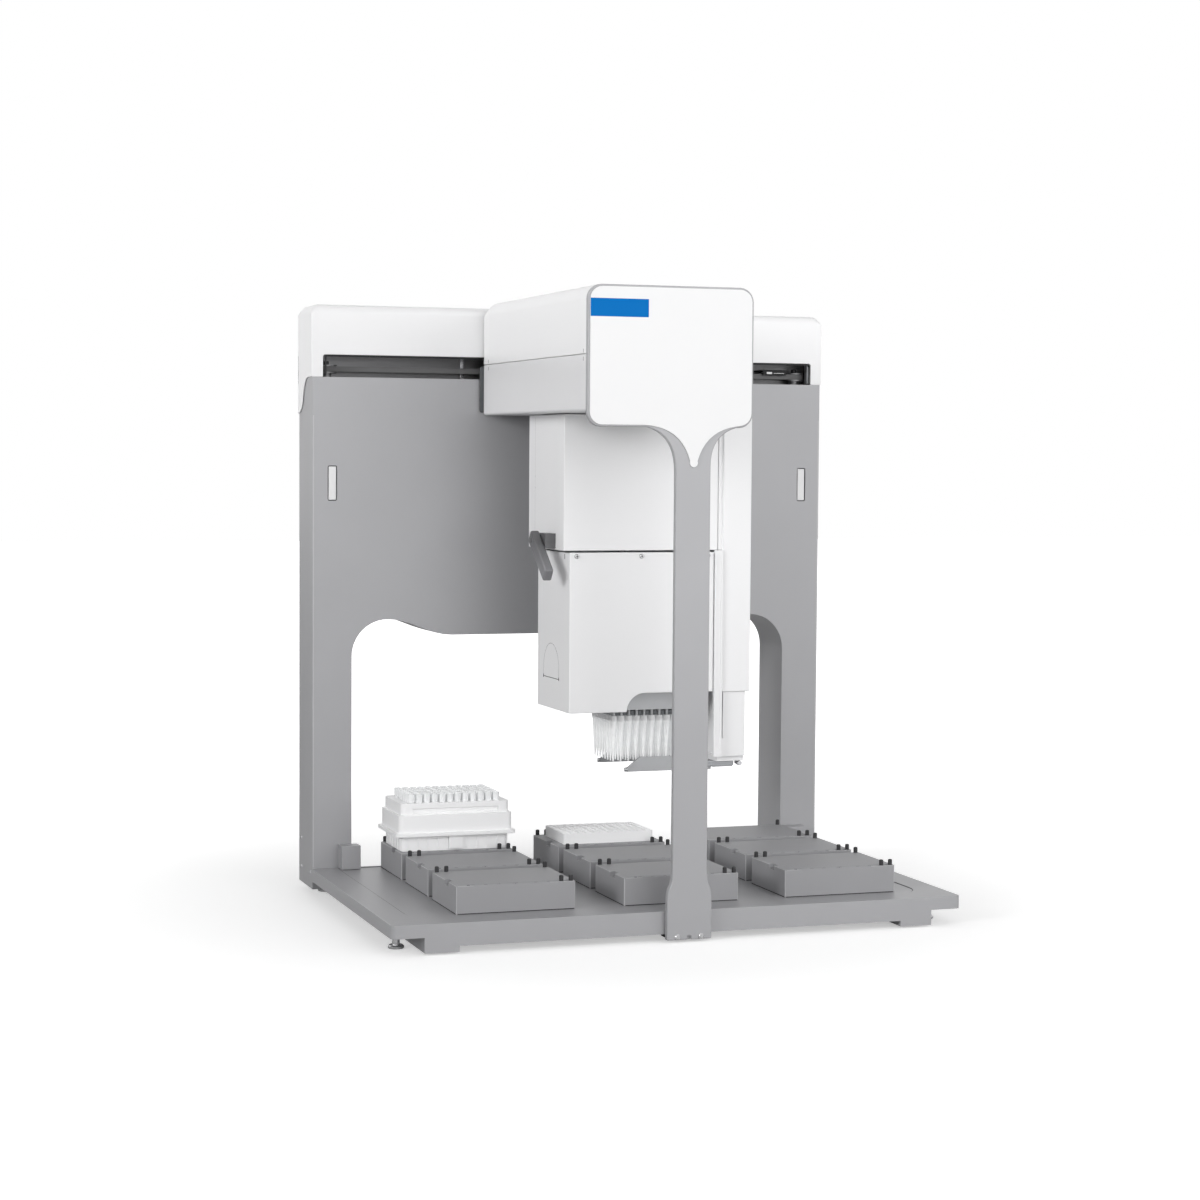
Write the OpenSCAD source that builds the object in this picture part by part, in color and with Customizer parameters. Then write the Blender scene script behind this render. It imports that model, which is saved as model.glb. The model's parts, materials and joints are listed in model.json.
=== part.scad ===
// Bench liquid handling robot: nine-place deck, moving gantry arm, 96-channel head and plate gripper.
// Frame: X to the right, Y to the rear, Z up, origin on the bench under the middle of the machine.

/* [Overall] */
// Depth from the front plate to the rear edge of the back frame
body_d = 456.4; // [450:0.1:470]

/* [Deck] */
// Width of the deck tray
deck_w = 635; // [632:1:645]
// Height of the deck surface above the bench
deck_top = 32.4; // [31:0.1:36]
// Sheet thickness of the deck tray
deck_sheet = 3; // [2:0.1:4]
// Height of the tray's edge at the sides
edge_h = 13.9; // [12:0.1:16]
// Height of the tray's front flange
flange_h = 24; // [20:0.1:25]
// Gap between the bench and the runners
runner_gap = 2.3; // [1:0.1:4]
// Width of the two runners under the deck
runner_w = 36.6; // [30:0.1:40]
// Distance from a runner to the side of the tray
runner_in = 34.9; // [33:0.1:38]
// How far the deck plate lies below the tray's rim
plate_drop = 0.6; // [0.2:0.1:1]
// Width of the tray's rim at the sides of the deck plate
rim_side = 30.5; // [30:0.1:36]
// Width of the tray's rim in front of the deck plate
rim_front = 27; // [25:0.1:34]
// Corner radius of the deck plate
plate_r = 38; // [30:1:44]
// Radius of the tray's two front corners
corner_r = 6; // [3:0.5:8]

/* [Nests] */
// Width of a plate nest
nest_w = 129.7; // [128:0.1:136]
// Depth of a plate nest
nest_d = 95.7; // [90:0.1:100]
// Height of a nest's top above the deck surface
nest_rise = 29.4; // [26:0.1:32]
// Distance between nest columns
nest_px = 183.7; // [182:0.1:186]
// Distance between nest rows
nest_py = 113.8; // [112:0.1:115]
// Middle column's offset from the machine's centre
nest_cx = 11.4; // [8:0.1:14]
// Middle row's offset from the machine's centre
nest_cy = -11; // [-12:0.1:-10]
// Diameter of a nest's locating pins
pin_dia = 4.6; // [4:0.1:4.8]
// Height of the locating pins above the nest
pin_h = 6.4; // [4:0.1:6.6]

/* [Back frame] */
// Width of the back frame
frame_w = 624; // [618:1:628]
// Back frame's middle, left of the deck's middle
frame_cx = -3.8; // [-4:0.1:0]
// Depth of the back frame
frame_d = 71.4; // [70:0.1:76]
// Wall thickness of the back frame
frame_t = 3; // [2:0.1:4]
// Height of the back frame's front panel
panel_top = 593.4; // [590:0.1:596]
// Width of a leg
leg_w = 45.7; // [43:0.1:48]
// Height of the portal's arch near the legs
arch_side = 317; // [310:1:330]
// Height of the portal's arch in the middle
arch_mid = 298; // [290:1:304]
// Radius of the portal's upper corners
arch_r = 42; // [36:1:48]
// Height of the slot that the arm runs in
slot_h = 25.3; // [25:0.1:28]
// Height of the top cover above the slot
cover_h = 56.7; // [56:0.1:60]

/* [Arm] */
// Width of the arm
arm_w = 181.2; // [178:0.1:190]
// Arm's centre, left of the column
arm_cx = -25.1; // [-28:0.1:-23]
// Height of the arm
arm_h = 128.6; // [128:0.1:136]
// Height of the arm's lower cover
lower_h = 58; // [56:0.1:62]
// Radius of the arm's upper edges
arm_r = 15; // [10:1:17]
// Wall thickness of the white covers
shell = 2.5; // [2:0.1:3]
// Thickness of the front column's plate
column_t = 7; // [5:0.1:8]
// Width of the front column
column_w = 38.4; // [34:0.1:44]
// Width of the column's foot
foot_w = 49.6; // [46:0.1:54]
// Thickness of the white face plate
face_t = 1.5; // [1:0.1:2]

/* [Head] */
// Channel pitch of the head and of the racks
pitch = 9; // [8.9:0.01:9.02]
// Middle of the channels, right of the column
head_cx = 36; // [35:0.1:36.5]
// Middle of the channels, behind the machine's centre
head_cy = 13; // [12.5:0.1:13.5]
// Height of the head's lower cover
cover_low_h = 175; // [165:0.1:175.5]
// Height of the head's upper housing
housing_h = 148; // [147:0.1:148.4]
// Length of the pipette tips below the stripper plate
tip_len = 51; // [44:0.1:51.5]

/* [Gripper] */
// Opening between the two blades
jaw_open = 90; // [89.5:0.1:91]
// Height of a gripper blade
blade_h = 16; // [12:0.1:18]
// Thickness of a gripper blade
blade_t = 3; // [2:0.1:3.5]

/* [Labware] */
// Height of the tip box without its tips
box_h = 54; // [50:0.1:58]
// Height of the plate on the rear middle nest
micro_h = 12; // [10:0.1:16]

/* [Hidden] */
$fn = 48;
eps = 0.01;

// Running clearances: round bores, flat slides and covers beside moving parts
run = 0.05;
slide = 0.3;
gap = 0.5;

// Places along Y
y_front = -body_d / 2;
y_back = body_d / 2;
column_back = y_front + face_t + column_t;
deck_front = column_back + 1;
frame_front = y_back - frame_d;
arm_back = frame_front - 4.3;

// Deck
rail_z = deck_top - flange_h;
runner_x = deck_w / 2 - runner_in - runner_w / 2;
plate_w = deck_w - 2 * rim_side;
plate_y0 = deck_front + rim_front;
plate_y1 = frame_front - 5;
plate_t = 1.4;
seat_z = deck_top - plate_drop;
nest_top = deck_top + nest_rise;
pad_rise = 0.4;
pin_edge = 2.5;
foot_r = 8.5;
foot_t = 4;
stud_r = 4;
foot_x = deck_w / 2 - 17.5;
foot_y = deck_front + 49.7;
rear_foot_y = frame_front + frame_d / 2;

// Back frame
leg_z = rail_z;
leg_in = frame_w / 2 - leg_w;
cover_z = panel_top + slot_h;
cover_top = cover_z + cover_h;
cover_w = frame_w + 3;
tail_t = 1.2;
ear_x = 300;
panel_back = y_back - 1.5 - 2;
inlet_x = 239.8;
inlet_z = 372;
rocker_y = y_back - 7;
rocker_r = 1.5;
window_x = 289;
window_z = panel_top - 120.4;

// Travel drive behind the slot
belt_z = panel_top + slot_h / 2 - 3;
beam_y = frame_front + 43.2;
beam_h = 70;
beam_z = belt_z - beam_h / 2;
rail_gap = 24;
pulley_x = frame_w / 2 - 22;
pulley_y = beam_y - 14;
pulley_r = 10;
belt_t = 1.6;
belt_w = 6;
neck_z = panel_top + 2.6;
plate_front = pulley_y - 6;

// Arm
arm_top = panel_top + 87.2;
arm_z = arm_top - arm_h;
arm_split = arm_z + lower_h;
neck_h = arm_split - 0.4 - neck_z;
arm_x0 = arm_cx - arm_w / 2;
arm_x1 = arm_cx + arm_w / 2;
spine_z = arm_z + 62;
spine_h = 50;
spine_w = 110;
end_y = arm_back - 3;
y_rail_h = 8;
screw_x = arm_cx;
screw_z = spine_z - 14;
screw_r = 5;
face_bottom = arm_z - 16.2;
face_rim = 2.2;
tongue_z = face_bottom - 40.8;

// Head
lift_gap = 1;
housing_top = arm_z - lift_gap;
split_z = housing_top - housing_h;
cover_low_top = split_z - 2;
cover_low_z = cover_low_top - cover_low_h;
house_x0 = -88;
house_x1 = 91;
house_y0 = -65;
house_y1 = 63;
low_x0 = -82;
low_x1 = 85.5;
low_y0 = -68.5;
low_y1 = 46;
tip_top = cover_low_z - 8.6;
strip_t = 5;
block_w = 11 * pitch + 8;
block_d = 7 * pitch + 13;
block_z = cover_low_z - 2;
block_h = 66;
base_z = block_z + block_h;
base_t = 8;
base_y0 = house_y0 + 2;
back_t = 8;
z_rail_x = [-44, 58];
z_rail_y = house_y1 - back_t;
z_rail_h = 6.5;
z_plate_y = z_rail_y - z_rail_h - 10;
z_screw_x = 7;
z_screw_y = 16;
z_screw_r = 4;
shelf_z = housing_top - 61;
lever_x = house_x0 - 12;
lever_y = -17;
lever_z = split_z + 10;

// Gripper
tower_x0 = 96;
tower_x1 = 129.3;
tower_z = cover_low_z + 20;
slide_x0 = tower_x0 + shell + slide;
slide_x1 = tower_x1 - shell - slide - 1.5;
jaw_plate_t = 6;
jaw_z = cover_low_z - 58;
slide_z = jaw_z + jaw_plate_t;
jaw_rail_x = 109;
blade_z = jaw_z - 12;
blade_x0 = -2;
jaw_plate_x0 = 93;

// Labware
box_x = nest_cx - nest_px;
box_y = nest_cy + nest_py;

// Everything of the back frame, which stands a little left of the deck's middle
module at_frame() {
    translate([frame_cx, 0, 0]) children();
}

module at_nests() {
    for (r = [1, 0, -1], c = [-1, 0, 1])
        translate([nest_cx + c * nest_px, nest_cy + r * nest_py, 0]) children();
}

// Extrudes a shape drawn in X and Z from y0 to y1
module along_y(y0, y1) {
    translate([0, y1, 0]) rotate([90, 0, 0]) linear_extrude(y1 - y0) children();
}

// Extrudes a shape drawn in Y and Z from x0 to x1
module along_x(x0, x1) {
    translate([x0, 0, 0]) rotate([90, 0, 90]) linear_extrude(x1 - x0) children();
}

// A block between two corners
module block(a, b) {
    translate(a) cube(b - a);
}

// A flat rectangle with round corners, between two corners
module round_rect(x0, y0, x1, y1, r) {
    translate([x0 + r, y0]) square([x1 - x0 - 2 * r, y1 - y0]);
    translate([x0, y0 + r]) square([x1 - x0, y1 - y0 - 2 * r]);
    for (x = [x0 + r, x1 - r], y = [y0 + r, y1 - r]) translate([x, y]) circle(r);
}

// A flat rectangle whose two upper corners are round
module dome_rect(x0, y0, x1, y1, r) {
    translate([x0, y0]) square([x1 - x0, y1 - y0 - r]);
    translate([x0 + r, y0]) square([x1 - x0 - 2 * r, y1 - y0]);
    for (x = [x0 + r, x1 - r]) translate([x, y1 - r]) circle(r);
}

// Copies at every channel of the head
module at_channels(cx, cy) {
    for (c = [0:11], r = [0:7])
        translate([cx + (c - 5.5) * pitch, cy + (r - 3.5) * pitch, 0]) children();
}

function arc(cx, cy, r, a0, a1, n) =
    [for (i = [0:n]) let (a = a0 + (a1 - a0) * i / n) [cx + r * cos(a), cy + r * sin(a)]];
function swoop(a, b, c, n) =
    [for (i = [0:n]) let (t = i / n) (1 - t) * (1 - t) * a + 2 * t * (1 - t) * b + t * t * c];
function flip_x(points) = [for (i = [len(points) - 1:-1:0]) [-points[i][0], points[i][1]]];

/* Deck ------------------------------------------------------------------ */

module front_flange_shape() {
    x1 = deck_w / 2;
    r = 2.5;
    half = concat(
        [[0, rail_z], [runner_x - runner_w / 2, rail_z], [runner_x - runner_w / 2, runner_gap]],
        [[runner_x + runner_w / 2, runner_gap], [runner_x + runner_w / 2, deck_top - edge_h]],
        [[x1, deck_top - edge_h]],
        arc(x1 - r, deck_top - r, r, 0, 90, 4));
    polygon(concat(half, flip_x(half)));
}

module deck_plate_shape(grow) {
    r = plate_r + grow;
    x1 = plate_w / 2 + grow;
    y0 = plate_y0 - grow;
    y1 = plate_y1 + grow;
    right = concat(arc(x1 - r, y0 + r, r, -90, 0, 8), [[x1, y1]]);
    polygon(concat(right, flip_x(right)));
}

module deck_tray() color([0.66, 0.66, 0.68]) difference() {
    union() {
        along_y(deck_front, deck_front + deck_sheet) front_flange_shape();
        block([-deck_w / 2, deck_front + deck_sheet - eps, deck_top - deck_sheet],
              [deck_w / 2, frame_front, deck_top]);
        for (s = [-1, 1])
            block([s * (deck_w / 2 - deck_sheet / 2) - deck_sheet / 2, deck_front + deck_sheet - eps,
                   deck_top - edge_h],
                  [s * (deck_w / 2 - deck_sheet / 2) + deck_sheet / 2, frame_front, deck_top]);
    }
    translate([0, 0, deck_top - plate_drop - plate_t]) linear_extrude(deck_sheet) deck_plate_shape(0.6);
    // rounds the front corners
    translate([0, 0, -1]) linear_extrude(deck_top + 2) difference() {
        translate([-deck_w, deck_front - 1]) square([2 * deck_w, corner_r + 1]);
        round_rect(-deck_w / 2, deck_front, deck_w / 2, deck_front + 4 * corner_r, corner_r);
    }
}

module deck_plate() color([0.64, 0.64, 0.66])
    translate([0, 0, seat_z - plate_t]) linear_extrude(plate_t) deck_plate_shape(0);

module deck_frame() color([0.5, 0.5, 0.52]) {
    top = deck_top - deck_sheet;
    y0 = deck_front + deck_sheet;
    wall = 3;
    inner = runner_x - runner_w / 2;
    outer = runner_x + runner_w / 2;
    difference() {
        union() {
            for (s = [-1, 1]) {
                block([s * runner_x - runner_w / 2, y0, runner_gap],
                      [s * runner_x + runner_w / 2, frame_front, top]);
                block([min(s * outer, s * (deck_w / 2 - deck_sheet)), foot_y - 20, deck_top - edge_h],
                      [max(s * outer, s * (deck_w / 2 - deck_sheet)), foot_y + 20, top]);
            }
            block([-inner, y0, rail_z + 4], [inner, y0 + 25, top]);
            block([-inner, frame_front - 25, rail_z + 4], [inner, frame_front, top]);
        }
        for (s = [-1, 1]) {
            block([s * runner_x - runner_w / 2 + wall, y0 + wall, runner_gap + wall],
                  [s * runner_x + runner_w / 2 - wall, frame_front + 1, top - wall]);
            translate([s * foot_x, foot_y, 0]) cylinder(r = stud_r + run, h = top - wall);
        }
    }
}

module leveling_feet() color([0.78, 0.78, 0.8]) {
    for (s = [-1, 1]) {
        translate([s * foot_x, foot_y, 0]) leveling_foot(deck_top - deck_sheet - 4);
        translate([frame_cx + s * (leg_in + leg_w / 2), rear_foot_y, 0]) leveling_foot(leg_z);
    }
}

// A foot disc with its neck and threaded stud, down to the bench at z = 0
module leveling_foot(top) {
    rotate_extrude() polygon([[0, 0], [foot_r - 0.8, 0], [foot_r, 0.8], [foot_r, 2.6],
        [foot_r - 1.4, foot_t], [stud_r, foot_t], [stud_r, top], [0, top]]);
}

/* Nests ----------------------------------------------------------------- */

module nest(n) {
    c = (n - 1) % 3 - 1;
    r = 1 - floor((n - 1) / 3);
    w = nest_w;
    d = nest_d;
    base = nest_top - pad_rise;
    color([0.55, 0.55, 0.57])
    translate([nest_cx + c * nest_px, nest_cy + r * nest_py, 0]) difference() {
        union() {
            translate([0, 0, seat_z]) linear_extrude(base - seat_z)
                round_rect(-w / 2, -d / 2, w / 2, d / 2, 1.5);
            // pad that the labware stands on, clear of the pins
            block([-w / 2 + 1, -d / 2 + 5.2, base - eps], [w / 2 - 1, d / 2 - 5.2, nest_top]);
        }
        // finger notch on the left, and the thin relief along the front
        block([-w / 2 - 1, -d / 2 + 30, nest_top - 5], [-w / 2 + 5, -d / 2 + 44, nest_top + 1]);
        block([-w / 2 + 20, -d / 2 - 1, base - 1.2], [w / 2 - 28, -d / 2 + 0.8, nest_top + 1]);
    }
}

module nest_pins() color([0.08, 0.08, 0.09])
    at_nests() for (p = [[-1, 1, 4.5], [-1, 1, 15], [1, 1, 4.5], [1, -1, 4.5], [1, -1, 15]])
        translate([p[0] * (nest_w / 2 - p[2]), p[1] * (nest_d / 2 - pin_edge), nest_top - pad_rise])
            locating_pin();

module locating_pin() {
    rotate_extrude($fn = 24) polygon([[0, 0], [pin_dia / 2, 0], [pin_dia / 2, pin_h - 0.8],
        [pin_dia / 2 - 0.8, pin_h], [0, pin_h]]);
}

/* Back frame ------------------------------------------------------------ */

// Right half of the portal's edge, from the middle of the arch to the foot of the leg
function portal(d) = let (x0 = 148, x1 = leg_in - arch_r) concat(
    [for (i = [0:8]) let (t = i / 8)
        [x0 + (x1 - x0) * t, arch_mid + d + (arch_side - arch_mid) * (1 - cos(180 * t)) / 2]],
    [for (p = arc(x1, arch_side - arch_r, arch_r + d, 82.5, 0, 11)) p]);

module frame_shape(d, top) {
    x1 = frame_w / 2 - d;
    half = concat(portal(d), [[leg_in + d, leg_z + d], [x1, leg_z + d], [x1, top]]);
    polygon(concat(half, flip_x(half)));
}

module windows(y0, y1) {
    along_y(y0, y1) for (s = [-1, 1])
        round_rect(s * window_x - 5.4, window_z - 20, s * window_x + 5.4, window_z + 20, 2);
}

module back_frame() color([0.66, 0.66, 0.68]) {
    difference() {
        along_y(frame_front, y_back) frame_shape(0, panel_top);
        along_y(frame_front + frame_t, y_back + 1) frame_shape(frame_t, panel_top + 1);
        windows(frame_front - 1, frame_front + frame_t + 1);
        for (s = [-1, 1]) translate([s * (leg_in + leg_w / 2), rear_foot_y, leg_z - 1])
            cylinder(r = stud_r + run, h = frame_t + 2);
    }
    // blocks that tie the legs to the deck, the right one clear of the nest beside it
    for (x = [-leg_in - 15.2, leg_in + 4])
        block([x, frame_front - 17.8, deck_top], [x + 22, frame_front, deck_top + 27]);
}

module rear_panel() color([0.6, 0.6, 0.62]) difference() {
    along_y(panel_back, panel_back + 2) frame_shape(frame_t, panel_top);
    windows(panel_back - 1, panel_back + 3);
    along_y(panel_back - 1, panel_back + 3) {
        round_rect(inlet_x - 30, inlet_z - 14, inlet_x + 30, inlet_z + 14, 2);
        round_rect(inlet_x - 88, inlet_z - 9, inlet_x - 52, inlet_z + 9, 2);
        for (k = [0:7]) round_rect(-110, 420 + 12 * k, 110, 425 + 12 * k, 2.4);
    }
}

// Mains inlet with its rocker's frame, and the data ports beside it
module rear_connectors() color([0.1, 0.1, 0.11]) {
    y1 = panel_back + 2;
    difference() {
        union() {
            along_y(y1, y_back - 0.2) round_rect(inlet_x - 34, inlet_z - 17, inlet_x + 34, inlet_z + 17, 3);
            along_y(y1 - 26, y1 + eps)
                round_rect(inlet_x - 29.7, inlet_z - 13.7, inlet_x + 29.7, inlet_z + 13.7, 2);
        }
        along_y(y1 - 16, y_back) round_rect(inlet_x - 25, inlet_z - 8.5, inlet_x + 3, inlet_z + 8.5, 3);
        along_y(y1 - 20, y_back) round_rect(inlet_x + 8, inlet_z - 10.5, inlet_x + 25, inlet_z + 10.5, 1);
        translate([inlet_x + 5, rocker_y, inlet_z]) rotate([0, 90, 0]) cylinder(r = rocker_r + run, h = 23);
    }
    difference() {
        union() {
            along_y(y1, y_back - 0.2) round_rect(inlet_x - 92, inlet_z - 12, inlet_x - 48, inlet_z + 12, 2);
            along_y(y1 - 14, y1 + eps)
                round_rect(inlet_x - 87.7, inlet_z - 8.7, inlet_x - 52.3, inlet_z + 8.7, 2);
        }
        for (x = [-79, -61]) along_y(y1 - 10, y_back)
            round_rect(inlet_x + x - 6.5, inlet_z - 5.5, inlet_x + x + 6.5, inlet_z + 5.5, 1);
    }
}

// Rocker on its pivot pin
module power_switch() color([0.14, 0.14, 0.15]) translate([inlet_x + 16.5, rocker_y, inlet_z]) {
    along_x(-7.6, 7.6) polygon([[-4, -8.5], [4.6, -8.5], [3.2, 0], [4.6, 8.5], [-4, 8.5]]);
    translate([-10, 0, 0]) rotate([0, 90, 0]) cylinder(r = rocker_r, h = 20);
}

module top_cover() color([0.93, 0.93, 0.94]) {
    x1 = cover_w / 2;
    inner = x1 - 3;
    tail_z = panel_top - 41;
    difference() {
        soft_top(-x1, x1, frame_front, y_back, panel_top, cover_top, 10);
        block([-inner, frame_front + 3, panel_top - 1], [inner, y_back - 3, cover_top - 11]);
        block([-inner + 9, frame_front + 12, cover_top - 12], [inner - 9, y_back - 12, cover_top - 3]);
        along_y(frame_front - 1, frame_front + 4) dome_rect(-ear_x, panel_top - 1, ear_x, cover_z, 3);
    }
    // side tails that sweep down over the frame towards the rear
    tail_y = frame_front + 22;
    tail = concat(
        [[tail_y, panel_top + 1]],
        swoop([tail_y, panel_top], [y_back - 31, panel_top - 3], [y_back - 25, panel_top - 22], 7),
        swoop([y_back - 24.5, panel_top - 24], [y_back - 20, tail_z + 2], [y_back, tail_z], 6),
        [[y_back, panel_top + 1]]);
    for (x = [-x1, x1 - tail_t]) along_x(x, x + tail_t) polygon(tail);
}

// A box whose upper edges are rounded
module soft_top(x0, x1, y0, y1, z0, z1, r) {
    hull() {
        for (x = [x0 + r, x1 - r], y = [y0 + r, y1 - r])
            translate([x, y, z1 - r]) sphere(r, $fn = 32);
        block([x0, y0, z1 - r - 1], [x1, y1, z1 - r]);
    }
    block([x0, y0, z0], [x1, y1, z1 - r]);
}

/* Travel drive ---------------------------------------------------------- */

module x_beam() color([0.6, 0.61, 0.63]) difference() {
    x1 = frame_w / 2 - frame_t;
    block([-x1, beam_y, beam_z], [x1, beam_y + 22, beam_z + beam_h]);
    // tee slots along the extrusion
    for (z = [beam_z + 20, beam_z + beam_h - 26])
        block([-x1 - 1, beam_y + 14, z], [x1 + 1, beam_y + 23, z + 6]);
}

module x_rails() color([0.75, 0.75, 0.77])
    for (s = [-1, 1])
        block([-pulley_x + 16, beam_y - 8, belt_z + s * rail_gap - 6],
              [pulley_x - 16, beam_y, belt_z + s * rail_gap + 6]);

module x_motor() color([0.15, 0.15, 0.16]) {
    size = 40;
    tray_z = beam_z - 10;
    x0 = -pulley_x - size / 2 + 4;
    y0 = frame_front + frame_t + slide;
    // motor body under its tray, and the riser that hangs the tray from the beam
    block([x0, y0, tray_z - 62], [x0 + size, y0 + size, tray_z + eps]);
    block([x0, y0, tray_z], [x0 + size, beam_y + 22, tray_z + 5]);
    block([x0, beam_y, tray_z + 5 - eps], [x0 + size, beam_y + 22, beam_z]);
    translate([-pulley_x, pulley_y, tray_z]) cylinder(r = 3, h = belt_z + 9 - tray_z);
    // the idler's own tray, riser and stub axle
    block([pulley_x - 12, pulley_y - 12, tray_z], [pulley_x + 12, beam_y + 22, tray_z + 5]);
    block([pulley_x - 12, beam_y, tray_z + 5 - eps], [pulley_x + 12, beam_y + 22, beam_z]);
    translate([pulley_x, pulley_y, tray_z]) cylinder(r = 3, h = belt_z + 9 - tray_z);
}

// Flanged pulley with a running bore for its shaft
module pulley() {
    difference() {
        union() {
            translate([0, 0, -belt_w / 2 - 0.6]) cylinder(r = pulley_r - slide, h = belt_w + 1.2);
            for (s = [-1, 1]) translate([0, 0, s * (belt_w / 2 + 1.1) - 0.5])
                cylinder(r = pulley_r + 2.4, h = 1);
            translate([0, 0, -belt_w / 2 - 6]) cylinder(r = 6, h = 6);
        }
        cylinder(r = 3 + run, h = 60, center = true);
    }
}

module x_drive_pulley() color([0.7, 0.7, 0.72])
    translate([-pulley_x, pulley_y, belt_z]) pulley();

module x_idler_pulley() color([0.7, 0.7, 0.72])
    translate([pulley_x, pulley_y, belt_z]) pulley();

module x_belt() color([0.1, 0.1, 0.1]) translate([0, pulley_y, belt_z - belt_w / 2])
    linear_extrude(belt_w) difference() {
        r = pulley_r + belt_t;
        round_rect(-pulley_x - r, -r, pulley_x + r, r, r - eps);
        round_rect(-pulley_x - pulley_r, -pulley_r, pulley_x + pulley_r, pulley_r, pulley_r - eps);
    }

// Carriage on the two rails, with the neck that reaches through the slot
module x_carriage() color([0.32, 0.33, 0.35]) {
    x0 = arm_cx - 40;
    x1 = arm_cx + 40;
    y1 = beam_y - 12;
    difference() {
        union() {
            block([x0, plate_front, belt_z - rail_gap - 12], [x1, y1, belt_z + rail_gap + 12]);
            for (s = [-1, 1], x = [x0 + 2, x1 - 36])
                block([x, y1 - eps, belt_z + s * rail_gap - 12],
                      [x + 34, beam_y - 1, belt_z + s * rail_gap + 12]);
            block([x0, end_y, neck_z], [x1, plate_front + eps, neck_z + neck_h]);
            // plate that closes the arm's rear end
            along_y(arm_back, arm_back + 2)
                round_rect(arm_x0 - 4.5, arm_z + 3, arm_x1 + 4.5, panel_top + 14.5, 3);
        }
        for (s = [-1, 1])
            block([x0 - 1, beam_y - 8 - slide, belt_z + s * rail_gap - 6 - slide],
                  [x1 + 1, beam_y, belt_z + s * rail_gap + 6 + slide]);
        block([x0 - 1, pulley_y - pulley_r - belt_t - slide, belt_z - belt_w / 2 - slide],
              [x1 + 1, pulley_y - pulley_r + slide, belt_z + belt_w / 2 + slide]);
    }
}

/* Arm ------------------------------------------------------------------- */

module arm_beam() color([0.55, 0.56, 0.58]) {
    x0 = arm_cx - spine_w / 2;
    x1 = arm_cx + spine_w / 2;
    difference() {
        union() {
            block([x0, column_back, spine_z], [x1, end_y, spine_z + spine_h]);
            block([x0, end_y - 8, neck_z - 4], [x1, end_y, spine_z + spine_h]);
        }
        block([x0 + 4, column_back - 1, spine_z + 4], [x1 - 4, end_y - 8, spine_z + spine_h - 4]);
        translate([screw_x, end_y + 1, screw_z]) rotate([90, 0, 0]) cylinder(r = screw_r + run, h = 10);
    }
}

module arm_upper_cover() color([0.93, 0.93, 0.94]) difference() {
    union() {
        hull() {
            for (x = [arm_x0 + arm_r, arm_x1 - arm_r]) {
                translate([x, arm_back - arm_r, arm_top - arm_r]) sphere(arm_r, $fn = 32);
                along_y(column_back, column_back + 1)
                    translate([x, arm_top - arm_r]) circle(arm_r, $fn = 32);
            }
            block([arm_x0, column_back, arm_top - arm_r - 1], [arm_x1, arm_back, arm_top - arm_r]);
        }
        block([arm_x0, column_back, arm_split], [arm_x1, arm_back, arm_top - arm_r]);
    }
    along_y(column_back - 1, arm_back - shell)
        dome_rect(arm_x0 + shell, arm_split - 1, arm_x1 - shell, arm_top - 12, arm_r - shell);
    // the spine's top pads seat under the cover
    along_y(column_back - 1, arm_back - arm_r)
        dome_rect(arm_x0 + arm_r, arm_top - 20, arm_x1 - arm_r, arm_top - shell, 3);
}

hanger_x0 = arm_cx - 27;
hanger_x1 = arm_cx + 27;
hanger_y0 = -20;
hanger_y1 = 40;
module arm_lower_cover() color([0.82, 0.82, 0.83]) difference() {
    r = 3;
    along_y(column_back, arm_back) difference() {
        rotate(180) dome_rect(-arm_x1, -arm_split + 0.4, -arm_x0, -arm_z, r);
        translate([arm_x0 + shell, arm_z + shell]) square([arm_w - 2 * shell, arm_h]);
    }
    // slot that the hanger travels in
    block([hanger_x0 - 4, column_back + 55, arm_z - 1],
          [hanger_x1 + 4, arm_back - 16, arm_z + shell + 1]);
}

// Outline of the column with its rounded head plate, flares and widened foot
module column_shape() {
    r = 15;
    cw = column_w / 2;
    fw = foot_w / 2;
    foot_top = 41;
    foot_end = 76;
    flare_z = face_bottom - 46;
    right = concat(
        [[fw, 3], [fw, foot_top]],
        swoop([fw, foot_top], [fw, foot_top + 14], [(cw + fw) / 2, (foot_top + foot_end) / 2], 4),
        swoop([(cw + fw) / 2, (foot_top + foot_end) / 2], [cw, foot_end - 14], [cw, foot_end], 4),
        swoop([cw, flare_z + 6], [cw, face_bottom - 8], [cw + 28, face_bottom], 10),
        arc(arm_x1 - r, face_bottom + r, r, -90, 0, 6),
        arc(arm_x1 - r, arm_top - r, r, 0, 90, 6));
    left = concat(
        arc(arm_x0 + r, arm_top - r, r, 90, 180, 6),
        arc(arm_x0 + r, face_bottom + r, r, 180, 270, 6),
        swoop([-cw - 31, face_bottom], [-cw, face_bottom - 8], [-cw, flare_z], 10),
        swoop([-cw, foot_end], [-cw, foot_end - 14], [-(cw + fw) / 2, (foot_top + foot_end) / 2], 4),
        swoop([-(cw + fw) / 2, (foot_top + foot_end) / 2], [-fw, foot_top + 14], [-fw, foot_top], 4),
        [[-fw, 3]]);
    polygon(concat(right, left));
}

module front_column() color([0.66, 0.66, 0.68]) difference() {
    along_y(y_front + face_t, column_back) column_shape();
    block([-2, y_front, 0], [2, y_front + face_t + 3, 7]);
}

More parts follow.
